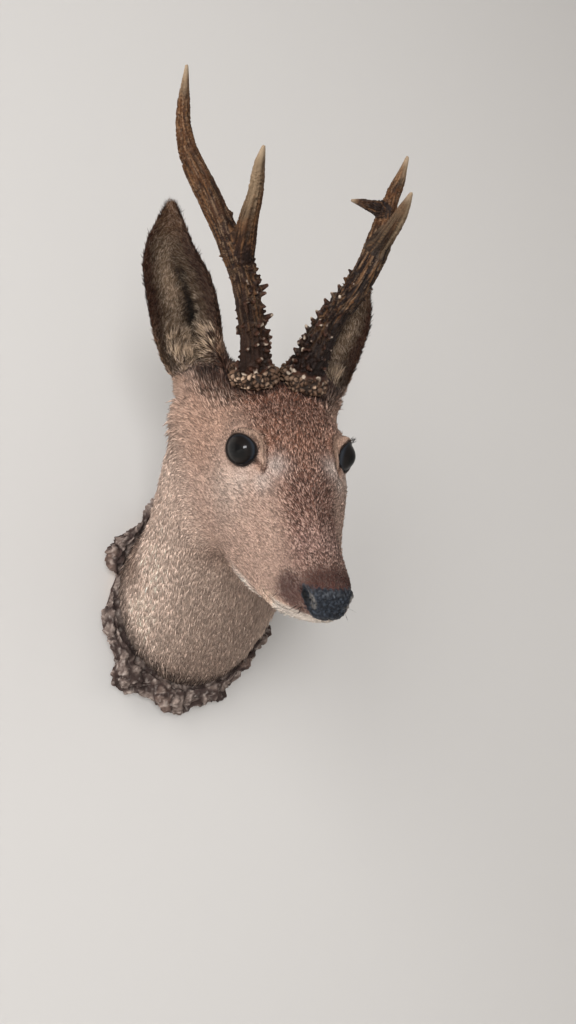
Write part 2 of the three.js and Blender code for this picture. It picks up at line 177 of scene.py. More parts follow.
# ---- Mesh helpers -------------------------------------------------------------------------

WELD = 1e-6  # metres: nodes' points closer than this become one


def add_piece(name, mesh, material, replaces=()):
    piece = add_object(name, mesh)
    mesh.materials.append(material)
    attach(piece, "root")
    if replaces:
        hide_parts(*replaces)
    return piece


def joined_nodes(names):
    bm = bmesh.new()
    for name in names:
        bm.from_mesh(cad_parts[name].data)
    bmesh.ops.remove_doubles(bm, verts=bm.verts, dist=WELD)
    return bm


def applied(helper, name):
    """The mesh that a helper's modifier makes. The helper and its own mesh go."""
    graph = bpy.context.evaluated_depsgraph_get()
    mesh = bpy.data.meshes.new_from_object(helper.evaluated_get(graph))
    source = helper.data
    bpy.data.objects.remove(helper)
    bpy.data.meshes.remove(source)
    mesh.name = name
    mesh.materials.clear()
    return mesh


def remeshed(bm, name, voxel_mm):
    """One closed skin over everything in a bmesh."""
    source = bpy.data.meshes.new(name + "_source")
    bm.to_mesh(source)
    bm.free()
    helper = add_object("helper", source)
    modifier = helper.modifiers.new("skin", "REMESH")
    modifier.mode = "VOXEL"
    modifier.voxel_size = voxel_mm * MM
    return applied(helper, name)


def thinned(mesh, free, triangles):
    """The mesh brought down to a number of triangles, by collapsing edges between its free points."""
    helper = add_object("helper", mesh)
    group = helper.vertex_groups.new(name="free")
    group.add(np.flatnonzero(free).tolist(), 1.0, "REPLACE")
    mesh.calc_loop_triangles()
    modifier = helper.modifiers.new("thin", "DECIMATE")
    modifier.vertex_group = "free"
    modifier.ratio = triangles / len(mesh.loop_triangles)
    return applied(helper, mesh.name)


def read(items, name, width, kind=float):
    """One property of every item of a mesh, as rows of numbers."""
    out = np.empty(len(items) * width, kind)
    items.foreach_get(name, out)
    return out.reshape(-1, width)


def points_of(mesh):
    return read(mesh.vertices, "co", 3)


def normals_of(mesh):
    return read(mesh.vertices, "normal", 3)


def edges_of(mesh):
    return read(mesh.edges, "vertices", 2, int)


def set_points(mesh, points):
    mesh.vertices.foreach_set("co", np.ascontiguousarray(points).ravel())
    mesh.update()


def relaxed(points, edges, rounds, weight):
    """Each point drawn towards its neighbours' middle, by a weight for each point."""
    count = np.bincount(edges.ravel(), minlength=len(points))[:, None]
    for _ in range(rounds):
        total = np.zeros_like(points)
        for k in range(3):
            total[:, k] = np.bincount(edges[:, 0], points[edges[:, 1], k], len(points))
            total[:, k] += np.bincount(edges[:, 1], points[edges[:, 0], k], len(points))
        points = points + (total / np.maximum(count, 1) - points) * np.reshape(weight, (-1, 1))
    return points


def refine(mesh, centre_mm, reach_mm):
    """Smaller faces round a place given in the head's frame."""
    bm = bmesh.new()
    bm.from_mesh(mesh)
    centre = Vector(from_head(centre_mm))
    near = [v for v in bm.verts if (v.co - centre).length < reach_mm * MM]
    chosen = {e for v in near for e in v.link_edges}
    bmesh.ops.subdivide_edges(bm, edges=list(chosen), cuts=1, use_grid_fill=True, smooth=0)
    bm.to_mesh(mesh)
    bm.free()


def paint(mesh, name, colours):
    """A colour for each point, as an attribute that the materials read."""
    layer = mesh.color_attributes.new(name=name, type="FLOAT_COLOR", domain="POINT")
    full = np.concatenate([colours, np.ones((len(colours), 1))], axis=1)
    layer.data.foreach_set("color", full.ravel())


def smooth_faces(mesh):
    mesh.polygons.foreach_set("use_smooth", np.ones(len(mesh.polygons), bool))


def noise_at(points_mm, scale_mm, seed):
    """Smooth noise from -1 to 1 at each point."""
    shift = Vector((seed, seed, seed))
    return np.array([noise.noise(Vector(p) / scale_mm + shift) for p in points_mm])


CHUNK_STEP = 7.31  # spreads neighbouring chunks over unlike cells of noise


def chunks_at(points_mm, scale_mm, seed):
    """0 in the cracks between chunks, rising to 1 inside each, and a shade of its own for every chunk."""
    shift = Vector((seed, seed, seed))
    near = np.empty(len(points_mm))
    shade = np.empty(len(points_mm))
    for i, p in enumerate(points_mm):
        distances, middles = noise.voronoi(Vector(p) / scale_mm + shift)
        near[i] = distances[1] - distances[0]
        shade[i] = noise.cell(middles[0] * CHUNK_STEP)
    return ramp(0.02, 0.5, near), shade


# ---- Materials ----------------------------------------------------------------------------


def new_material(name, roughness, specular=0.5):
    material = bpy.data.materials.new(name)
    material.use_nodes = True
    shader = material.node_tree.nodes["Principled BSDF"]
    shader.inputs["Roughness"].default_value = roughness
    shader.inputs["Specular IOR Level"].default_value = specular
    return material, shader


def add_node(material, kind, settings=(), links=()):
    """A node with its settings and its inputs' links: settings by property or socket name."""
    node = material.node_tree.nodes.new(kind)
    for key, value in dict(settings).items():
        if key in node.inputs:
            node.inputs[key].default_value = value
        else:
            setattr(node, key, value)
    for key, source in dict(links).items():
        material.node_tree.links.new(source, node.inputs[key])
    return node


def link(material, source, target):
    material.node_tree.links.new(source, target)


def painted_colour(material, shader, attribute):
    colour = add_node(material, "ShaderNodeAttribute", {"attribute_name": attribute})
    link(material, colour.outputs["Color"], shader.inputs["Base Color"])


def relief(material, shader, scales_mm, depth_mm, strength=1.0, detail=4, roughness=0.6, distortion=0.0):
    """Noise of a real size as the surface's relief. Its texture is given back, to colour by."""
    place = add_node(material, "ShaderNodeTexCoord")
    mapping = add_node(
        material,
        "ShaderNodeMapping",
        {"Scale": tuple(1 / (scale * MM) for scale in scales_mm)},
        {"Vector": place.outputs["Object"]},
    )
    texture = add_node(
        material,
        "ShaderNodeTexNoise",
        {"Scale": 1.0, "Detail": detail, "Roughness": roughness, "Distortion": distortion},
        {"Vector": mapping.outputs["Vector"]},
    )
    bump = add_node(
        material,
        "ShaderNodeBump",
        {"Strength": strength, "Distance": depth_mm * MM},
        {"Height": texture.outputs["Fac"]},
    )
    link(material, bump.outputs["Normal"], shader.inputs["Normal"])
    return texture


def skin_material():
    # Tanned hide under the coat, and the bare nose and lid rims, which are smoother and darker.
    material, shader = new_material("tanned_hide", 0.8, 0.22)
    painted_colour(material, shader, "coat")
    gloss = add_node(material, "ShaderNodeAttribute", {"attribute_name": "bare"})
    rough = add_node(
        material,
        "ShaderNodeMapRange",
        {"To Min": 0.85, "To Max": 0.42},
        {"Value": gloss.outputs["Fac"]},
    )
    link(material, rough.outputs["Result"], shader.inputs["Roughness"])
    relief(material, shader, (1.6, 1.6, 1.6), 0.5)
    return material


def coat_material():
    # Dry winter hair: dull, with a faint sheen along its edges.
    material, shader = new_material("deer_hair", 0.75, 0.12)
    shader.inputs["Sheen Weight"].default_value = 0.03
    shader.inputs["Sheen Roughness"].default_value = 0.5
    painted_colour(material, shader, "coat")
    return material


def antler_material():
    # Weathered antler: hard and faintly polished on its ridges and tips, rough in its grooves.
    material, shader = new_material("antler", 0.52, 0.25)
    painted_colour(material, shader, "antler")
    relief(material, shader, (0.9, 0.9, 0.9), 0.35)
    return material


def bark_material():
    # Dry bark: crusty, matt, grey on its crests and dark in its cracks.
    material, shader = new_material("dry_bark", 0.92, 0.2)
    painted_colour(material, shader, "bark")
    relief(material, shader, (0.9, 0.9, 0.9), 0.5, detail=6)
    return material


def eye_material():
    # Polished glass eye: near black, under a clear hard surface.
    material, shader = new_material("glass_eye", 0.5, 0.1)
    shader.inputs["Coat Weight"].default_value = 0.45
    shader.inputs["Coat Roughness"].default_value = 0.03
    shader.inputs["Coat IOR"].default_value = 1.45
    painted_colour(material, shader, "eye")
    return material


def board_material():
    # Sawn, unvarnished softwood, seen from the back and the sides: bands of grain up the board.
    material, shader = new_material("sawn_softwood", 0.75, 0.3)
    grain = relief(material, shader, (9, 30, 160), 0.4, 0.6, detail=8.0, roughness=0.65, distortion=0.4)
    tones = add_node(material, "ShaderNodeValToRGB", {}, {"Fac": grain.outputs["Fac"]})
    for stop, place, hex_colour in zip(tones.color_ramp.elements, (0.35, 0.65), ("7d5a3c", "b98f63")):
        stop.position = place
        stop.color = rgba(hex_colour)
    link(material, tones.outputs["Color"], shader.inputs["Base Color"])
    return material


HIDE = skin_material()
HAIR = coat_material()
ANTLER = antler_material()
BARK = bark_material()
GLASS = eye_material()
WOOD = board_material()

# ---- Eyes ---------------------------------------------------------------------------------

EYE = np.array((34.5, 1.0, 1.0))
EYE_RADIUS = 12.6
EYE_AXIS = unit(np.array((0.72, 0.66, 0.2)))
EYE_LENGTHWISE = np.array((-0.62, 0.70, -0.2))
CORNEA_RISE = 0.9
CORNEA_WIDTH = 6.5
PUPIL_HALF = (6.6, 4.4)  # roe pupils lie lengthwise
OPENING_MIDDLE = (0.9, 0.6)
OPENING_HALF = (11.9, 10.3)
SIDES = {"right": 1, "left": -1}


def eye_frame(sign):
    """(centre, outward, towards the nose, up) of an eye, in the head's frame."""
    flip = np.array((sign, 1, 1))
    out = EYE_AXIS * flip
    along = EYE_LENGTHWISE * flip
    along = unit(along - out * along.dot(out))
    up = np.cross(out, along) * sign
    return EYE * flip, out, along, up


def make_eye(side, sign):
    centre, out, along, up = eye_frame(sign)
    bm = bmesh.new()
    bmesh.ops.create_uvsphere(bm, u_segments=72, v_segments=48, radius=EYE_RADIUS * MM)
    mesh = bpy.data.meshes.new("eye_" + side)
    bm.to_mesh(mesh)
    bm.free()
    local = points_of(mesh) / MM
    off_axis = np.hypot(local[:, 0], local[:, 1])
    front = ramp(2, 7, local[:, 2])
    local[:, 2] += CORNEA_RISE * bell(off_axis, CORNEA_WIDTH) * front
    # The ball's pole looks along the eye's axis.
    turn = np.stack([head_turn(along), head_turn(up), head_turn(out)], axis=1)
    set_points(mesh, local @ turn.T * MM + from_head(centre))
    pupil = ramp(1.15, 0.9, np.hypot(local[:, 0] / PUPIL_HALF[0], local[:, 1] / PUPIL_HALF[1]))
    # A faint bluish ring inside the black rim is a painted reflection.
    colours = layered(
        plain("0f0a08", len(local)),
        ("050404", pupil * front),
        ("46505c", 0.3 * bell(off_axis - 10.5, 0.8) * front),
        ("0c0908", np.maximum(ramp(11.2, 12.1, off_axis), 1 - front)),
    )
    smooth_faces(mesh)
    mesh.update()
    if mesh.polygons[0].normal.dot(Vector(from_head(centre)) - mesh.polygons[0].center) > 0:
        mesh.flip_normals()
    paint(mesh, "eye", colours)
    add_piece("eye_glass_" + side, mesh, GLASS, ["eye_" + side])


for side, sign in SIDES.items():
    make_eye(side, sign)

# ---- Ears: the same leaf as the solid's, for places, lie and colour -------------------------

EAR_PATHS = {
    "right": [(34, -64, 6), (52, -74, 22), (65, -82, 41), (77, -85, 76), (88, -87, 104), (91, -90, 137)],
    "left": [
        (-33, -64, 6), (-42, -75, 18), (-50, -86, 32), (-61, -102, 55), (-76, -119, 77), (-86, -135, 94)
    ],
}
EAR_FACES = {"right": (0.5, 0.8, 0.1), "left": (-0.2, 0.8, 0.4)}
EAR_HALF = [15, 18, 21.5, 25, 26.5, 25.5, 21.5, 14, 3.5]
EAR_WRAP = [120, 116, 104, 90, 76, 66, 58, 52, 48]
EAR_SIZE = {"right": 1.0, "left": 0.9}
# The colour inside each ear; the left ear's darker inside is painted shade.
EAR_INSIDE_AND_SHADE = {"right": "4f3d2e", "left": "3d2b1e"}
EAR_STEPS = 90


def ear_field(points, side):
    """Where head-frame points lie on an ear: shares along and across, depth inside the cup, its axes."""
    path, tangent, _, _ = even_curve(EAR_PATHS[side], EAR_STEPS)
    gap = np.linalg.norm(points[:, None] - path[None], axis=2)
    nearest = gap.argmin(axis=1)
    along = nearest / (EAR_STEPS - 1)
    axis = tangent[nearest]
    faces = np.tile(unit(np.array(EAR_FACES[side])), (len(points), 1))
    open_way = unit(faces - axis * (faces * axis).sum(1, keepdims=True))
    across = np.cross(axis, open_way)
    wrap = np.radians(catmull(EAR_WRAP, along))
    turn = np.minimum(wrap, math.pi / 2)
    radius = catmull(EAR_HALF, along) * EAR_SIZE[side] / np.sin(turn)
    middle = path[nearest] + open_way * (radius * np.cos(turn))[:, None]
    offset = points - middle
    a = (offset * across).sum(1)
    o = (offset * open_way).sum(1)
    share = np.arctan2(a, -o) / wrap * SIDES[side]
    depth = radius - np.hypot(a, o)
    beyond = (points - path[-1]) @ tangent[-1]
    on_ear = (np.abs(depth) < 6) & (np.abs(share) < 1.3) & (along > 0.1) & (beyond < 6)
    return {
        "on": on_ear,
        "along": along,
        "share": share,
        "depth": depth,
        "axis": axis,
        "across": across * SIDES[side],
    }


# ---- The skin -----------------------------------------------------------------------------

FLESH = ["neck_base", "neck", "head", "muzzle", "lower_jaw", "chin", "nose", "ear_right", "ear_left"]
NECK_LIE = np.array((0.0, 0.55, -0.84)) @ AXES  # down the neck to the board
NECK_CUT_POINT = np.array((0, -54, -22))
NECK_CUT_NORMAL = np.array((0, math.cos(math.radians(27)), math.sin(math.radians(27))))
BARK_FRONT_Y = -30.0  # row millimetres: behind this the neck is let into the bark
NOSTRIL = np.array((15.0, 114.0, -40.8))
NOSE_Z = -43.0
NOSE_FRONT = (0, 114, -46)
MOUTH_Y = [54, 62, 70, 79, 90, 101, 115, 123]
MOUTH_Z = [-60.0, -61.5, -65.0, -67.0, -64.5, -60.5, -55.5, -53.5]
SKIN_VOXEL = 1.4
SKIN_TRIANGLES = 180000
SKIN_ROUNDS = 26  # rounds of relaxing all over
JOINT_ROUNDS = 110  # further rounds at the joints
HIDE_PAINTED_SHADE = 0.8  # painted shade: the hide between the hairs is painted a little darker than they are
# The coat in millimetres, degrees and tufts for each square millimetre.
COAT_DEPTH = {"neck": 4.0, "face": 1.2, "muzzle": 0.6, "ear": 0.35}
COAT_LENGTH = {
    "neck": 6.5,
    "low_neck": 9.0,
    "face": 4.2,
    "muzzle": 2.8,
    "poll": 9.0,
    "jaw": 5.0,
    "fringe": 12,
    "collar": 8,
    "chin": 3.4,
    "ear": 5.0,
}
COAT_WIDTH = {"neck": 0.64, "face": 0.58, "muzzle": 0.52, "chin": 0.42, "ear": 0.45}
COAT_LIFT = {"all": 12, "ear_back": 10, "ear_inside": 20}
COAT_DENSITY = {"neck": 2.0, "face": 3.4, "muzzle": 5.4, "ear": 3.4}


def headness(points):
    """1 on the head, 0 on the neck, smooth across their border."""
    return ramp(-30, 22, (points - NECK_CUT_POINT) @ NECK_CUT_NORMAL)


def from_eye(points, sign):
    return np.linalg.norm(points - EYE * (sign, 1, 1), axis=1)


def lid_distance(points, sign):
    """Distance in millimetres from an eye's opening, less than 0 inside it, and local places."""
    centre, out, along, up = eye_frame(sign)
    offset = points - centre
    x, y, z = offset @ along, offset @ up, offset @ out
    across, rise = (x - OPENING_MIDDLE[0]) / OPENING_HALF[0], (y - OPENING_MIDDLE[1]) / OPENING_HALF[1]
    ellipse = (np.sqrt(across**2 + rise**2) - 1) * 11.0
    # The corner towards the nose runs out to a point.
    t = np.clip((x - 9) / 6.5, 0, 1)
    corner = np.hypot(x - (9 + 6.5 * t), y - 1.2 * t) - (2.6 - 2.3 * t)
    return np.minimum(ellipse, corner), x, y, z, offset


def eye_folds(distance, x, y):
    """How strongly a place lies in the brow fold, lid's swelling, brow, lower crease and tear duct."""
    angle = np.degrees(np.arctan2(y - OPENING_MIDDLE[1], x - OPENING_MIDDLE[0]))
    path = 4.6 + 1.4 * ramp(130, 80, angle) + 1.6 * ramp(60, 10, angle) + 1.5 * ramp(14, -8, angle)
    above = ramp(-16, -2, angle) * ramp(176, 135, angle)
    fold = bell(distance - path, 1.2) * above
    swell = bell(distance - path * 0.55, 1.8) * above
    brow = bell(distance - path - 2.7, 2.0) * above
    below = ramp(-8, -26, angle) * ramp(-135, -100, angle)
    crease = bell(distance - 5.2, 0.8) * below
    t = np.clip((x - 15) / 13, 0, 1)
    duct = bell(np.hypot(x - (15 + 13 * t), y - (1.8 - 3.8 * t**2)), 1.4) * (1 - 0.4 * t)
    return fold, swell, brow, crease, duct


def sculpt_eye(points, sign):
    distance, x, y, z, offset = lid_distance(points, sign)
    reach = np.linalg.norm(offset, axis=1)
    near = (reach < 30) & (z > -2)
    d, r = distance[near], reach[near]
    # The lids wrap the ball, thickest at their rims; inside the opening the skin dives under the ball.
    lid = EYE_RADIUS + 1.0 + 0.7 * bell(d - 1.2, 0.8)
    wrapped = np.where(d < 2.0, np.minimum(r, lid + np.maximum(d - 0.6, 0) * 0.5), r)
    wrapped = np.maximum(wrapped, np.where((d > 0) & (d < 6), lid - 0.2, 0))
    inside = EYE_RADIUS - 2.6
    sculpted = toward(inside, wrapped, ramp(-0.7, 0.35, d))
    fold, swell, brow, crease, duct = eye_folds(d, x[near], y[near])
    sculpted += 1.3 * swell + 1.7 * brow - 2.9 * fold - 0.5 * crease - 1.9 * duct
    out = points.copy()
    out[near] = points[near] + unit(offset[near]) * (sculpted - r)[:, None]
    return out


def nose_pad(points):
    """1 on the bare nose, 0 off it."""
    x, y, z = np.abs(points[:, 0]), points[:, 1], points[:, 2]
    half = 16.2 - 0.42 * np.clip(NOSE_Z - z, 0, 20)
    ragged = 0.12 * np.sin(points[:, 0] * 1.9) * np.sin(points[:, 2] * 1.3)
    edge = (x / half) ** 3 + (np.abs(z - NOSE_Z) / 11.0) ** 3 + ragged
    return ramp(1.15, 0.9, edge) * ramp(102, 106, y)


def mouth_line(points):
    """How far above the mouth line a point is, and how strong the line is there."""
    y = points[:, 1]
    return points[:, 2] - np.interp(y, MOUTH_Y, MOUTH_Z), ramp(56, 68, y)


def nostril_depth(points):
    """How far into a nostril's pit or slit a place lies, 0 to 1 each, and the rim round the pit."""
    x, y, z = np.abs(points[:, 0]), points[:, 1], points[:, 2]
    across, rise, back = x - NOSTRIL[0], z - NOSTRIL[2], y - NOSTRIL[1]
    # The pit stands upright and leans outwards; a raised wing curls round its inner side.
    lean = across - 0.35 * rise
    pit = np.sqrt((lean / 1.8) ** 2 + (rise / 3.7) ** 2 + (back / 9) ** 2)
    curl = np.hypot(lean, 0.62 * rise)
    slit = bell(np.hypot(across - 2.6, rise - 3.4) - 2.0, 0.7) * ramp(-1, 1.5, across)
    wing = bell(curl - 3.7, 0.7) * ramp(0.8, -1.2, lean) * ramp(5, 3.2, np.abs(rise)) * nose_pad(points)
    return bell(pit, 1.0), slit * bell(back, 11), wing * bell(back, 11)


def sculpt_muzzle(points, normals):
    x, y, z = points.T
    # The nostril is a comma: a pit, with a slit that runs outwards and back from it.
    pit, slit, wing = nostril_depth(points)
    push = -5.0 * pit - 1.0 * slit + 1.3 * wing
    # The groove down the middle of the nose, and the mouth line.
    front = ramp(108, 114, y)
    push -= 1.0 * bell(x, 0.8) * front * ramp(-43, -48, z)
    above, strength = mouth_line(points)
    push -= 1.6 * bell(above, 0.8) * strength
    push += 1.3 * bell(above - 4.0, 3.0) * strength * ramp(80, 100, y)
    push += 0.8 * bell(above + 3.2, 2.0) * strength
    # Bare nose skin is pebbled, and stands a little proud of the coat round it.
    bare = nose_pad(points)
    pebbles = np.zeros(len(points))
    chosen = bare > 0.4
    pebbles[chosen] = noise_at(points[chosen], 1.3, 4.4) + 0.8 * noise_at(points[chosen], 2.6, 8.8)
    push += 0.75 * pebbles * bare
    return points + normals * push[:, None]


def coat_depth(points, ears):
    """How far the skin lies under the coat's outline."""
    head = headness(points)
    depth = toward(COAT_DEPTH["neck"], COAT_DEPTH["face"], head)
    depth = toward(depth, COAT_DEPTH["muzzle"], ramp(60, 95, points[:, 1]) * head)
    for sign in SIDES.values():
        depth = depth * (1 - bell(from_eye(points, sign), 17))
    depth = depth * (1 - nose_pad(points))
    for ear in ears:
        depth = np.where(ear["on"], COAT_DEPTH["ear"], depth)
    return depth


def make_skin():
    bm = joined_nodes(FLESH)
    for sign in SIDES.values():
        place = Matrix.Translation(Vector(from_head(EYE * (sign, 1, 1))))
        bmesh.ops.create_icosphere(bm, subdivisions=4, radius=(EYE_RADIUS + 0.9) * MM, matrix=place)
    mesh = remeshed(bm, "skin", SKIN_VOXEL)
    for sign in SIDES.values():
        refine(mesh, EYE * (sign, 1, 1), 21)
        refine(mesh, EYE * (sign, 1, 1), 16)
    refine(mesh, NOSE_FRONT, 25)
    points = to_head(points_of(mesh))
    edges = edges_of(mesh)
    ears = [ear_field(points, side) for side in SIDES]
    on_ear = (ears[0]["on"] | ears[1]["on"]) & (np.maximum(ears[0]["along"], ears[1]["along"]) > 0.22)
    near_eye = sum(bell(from_eye(points, sign), 15) for sign in SIDES.values())
    ease = np.where(on_ear, 0.25, 0.6) * (1 - 0.5 * np.clip(near_eye, 0, 1))
    ease *= np.where(points[:, 1] > 104, 0.5, 1)
    points = relaxed(points, edges, SKIN_ROUNDS, ease)
    # The joints of head, neck and ear roots are drawn into one another.
    ahead = (points - NECK_CUT_POINT) @ NECK_CUT_NORMAL
    joint = ramp(-60, -30, ahead) * ramp(46, 20, ahead) * ramp(70, 50, points[:, 2])
    points = relaxed(points, edges, JOINT_ROUNDS, 0.6 * np.where(on_ear, 0, joint))
    for sign in SIDES.values():
        points = sculpt_eye(points, sign)
    set_points(mesh, from_head(points))
    normals = normals_of(mesh) @ AXES
    points = sculpt_muzzle(points, normals)
    # The skin is let in by the coat's depth, but not round the eyes.
    depth = np.where(near_eye > 0.4, 0, coat_depth(points, ears))
    smooth_normals = unit(relaxed(normals, edges, 8, 0.6))
    points = points - smooth_normals * depth[:, None]
    set_points(mesh, from_head(points))
    # Lids and nose keep their fine faces.
    mesh = thinned(mesh, (near_eye < 0.3) & (points[:, 1] < 100), SKIN_TRIANGLES)
    smooth_faces(mesh)
    return mesh


skin = make_skin()

# ---- Where the coat is dark, pale, long or short ------------------------------------------


def face_colour(points, normals):
    """The face, from its dark middle out to its pale cheeks, lips and jaw edge."""
    x, y, z = np.abs(points[:, 0]), points[:, 1], points[:, 2]
    folded = np.stack([x, y, z], axis=1)

    def away(*place):
        return np.linalg.norm(folded - place, axis=1)

    patchy = noise_at(points, 15.0, 20.0)
    top = ramp(0.1, 0.75, normals[:, 2] + 0.12 * patchy)
    pale = np.maximum(bell(away(21, 29, 2), 9.5), 0.85 * bell(away(27, 31, -7), 9))
    pale = np.maximum(pale, 0.65 * bell(away(40, 18, -15), 10))
    above, strength = mouth_line(points)
    patch = ramp(19, 6, away(20.5, 99, -46) + 2.0 * patchy) * ramp(3, 7, above + patchy)
    jaw_edge = ramp(-70, -80, z + 4 * patchy) * ramp(95, 60, y) * ramp(25, 48, y)
    lip = ramp(5.4, 2.4, above + patchy) * ramp(66, 78, y) * ramp(108, 100, y)
    return layered(
        plain("bd9f8f", len(points)),
        ("af8d7a", 0.8 * ramp(10, -35, y) * ramp(-50, -20, z)),
        # The bridge, the forehead and the crown.
        ("724e42", 0.92 * top * ramp(112, 92, y) * ramp(26, 12, x)),
        ("9a7b71", 0.7 * bell(y - 84, 13) * top * ramp(26, 12, x)),
        ("875e4c", 0.95 * top * ramp(52, 18, y) * ramp(42, 22, x)),
        ("7b5343", 0.92 * top * ramp(10, -20, y) * ramp(36, 18, x)),
        # Pale places before and below the eye.
        ("dccfc7", 0.6 * np.clip(pale, 0, 1)),
        ("d0b9ab", 0.7 * bell(np.hypot(y - 8, z + 28), 22) * ramp(12, 26, x)),
        # The dark band round the nose, and a dark patch on each lip.
        ("6c4c43", 0.85 * ramp(94, 105, y)),
        ("5e423c", 0.95 * patch),
        ("553730", 0.95 * ramp(101, 110, y) * ramp(-40, -33, z) * ramp(19, 11, x)),
        # The jaw's edge, the lips, the chin and the mouth's line.
        ("e8dbd0", 0.9 * jaw_edge),
        ("d6baa6", 0.9 * lip),
        ("ded2c7", 0.95 * ramp(4.4, 1.6, above + 0.7 * patchy) * ramp(82, 92, y)),
        ("5a4039", 0.5 * bell(above, 0.7) * strength * ramp(104, 96, y)),
    )


def neck_colour(row, sky):
    """The neck: pale fawn, greyer higher up and browner along the nape, with painted shade on its underside
    and where it nears the bark.
    """
    return layered(
        plain("f7ddcc", len(row)),
        ("dfc5b5", ramp(0, 60, row[:, 2])),
        # Painted shade on the underside of the neck.
        ("917768", 0.8 * ramp(0.35, 0.95, -sky)),
        ("86695a", 0.6 * ramp(0.2, 0.8, sky)),
        # Painted shade on the neck's upper side towards the board.
        ("6b5040", 0.75 * ramp(-92, -60, row[:, 1]) * ramp(-10, 25, row[:, 2])),
        # Painted shade next to the bark, all round.
        ("4f3b31", 0.6 * ramp(-50, -38, row[:, 1])),
    )


def eye_colour(colours, points):
    """Colours with the lids round the eyes and painted shade in their folds, where the rims are, and how
    near a lid is.
    """
    near_lid = np.zeros(len(points))
    rim = np.zeros(len(points))
    for sign in SIDES.values():
        distance, x, y, z, offset = lid_distance(points, sign)
        close = (np.linalg.norm(offset, axis=1) < 34) & (z > -2)
        rim = np.maximum(rim, close * ramp(1.2, 0.5, distance))
        near_lid = np.maximum(near_lid, close * ramp(15, 9, distance))
        fold, swell, _, crease, duct = eye_folds(distance, x, y)
        wedge = bell(np.hypot((x - 21) / 1.8, y - 0.6), 3.0)
        colours = layered(
            colours,
            ("8a5c49", close * 0.8 * wedge),
            ("b89a86", close * 0.75 * swell),
            # Painted shade in the brow fold and in the crease below the eye.
            ("432a1e", close * np.clip(0.85 * fold + 0.3 * crease, 0, 1)),
            ("432419", close * 0.9 * duct),
            ("5a4236", close * 0.7 * ramp(2.2, 1.2, distance)),
        )
    return layered(colours, ("1a1311", rim)), rim, near_lid


def nose_colour(colours, points, bare):
    """Colours with the bare nose: slate pebbles, black cracks, a grey hem and wings, and nostrils painted
    black as the shade inside them.
    """
    pit, slit, wing = nostril_depth(points)
    speck = noise_at(points, 1.4, 77.0)
    crack = 1 - 5 * np.abs(noise_at(points, 2.7, 55.0))
    hem = bare * ramp(5.5, 8.5, np.abs(points[:, 2] - NOSE_Z))
    return layered(
        colours,
        ("22262e", bare),
        ("47505b", 0.6 * bare * ramp(0.05, 0.45, speck)),
        ("08080b", 0.75 * bare * ramp(0.2, 0.8, crack)),
        ("5e5e60", 0.25 * hem * ramp(-0.3, 0.3, speck)),
        ("958f88", 0.8 * bare * wing * ramp(-0.6, 0.0, speck)),
        # Painted shade: the nostrils' pits and slits are painted black.
        ("030304", np.clip(1.8 * pit + 0.6 * slit, 0, 1) * ramp(104, 108, points[:, 1])),
    )


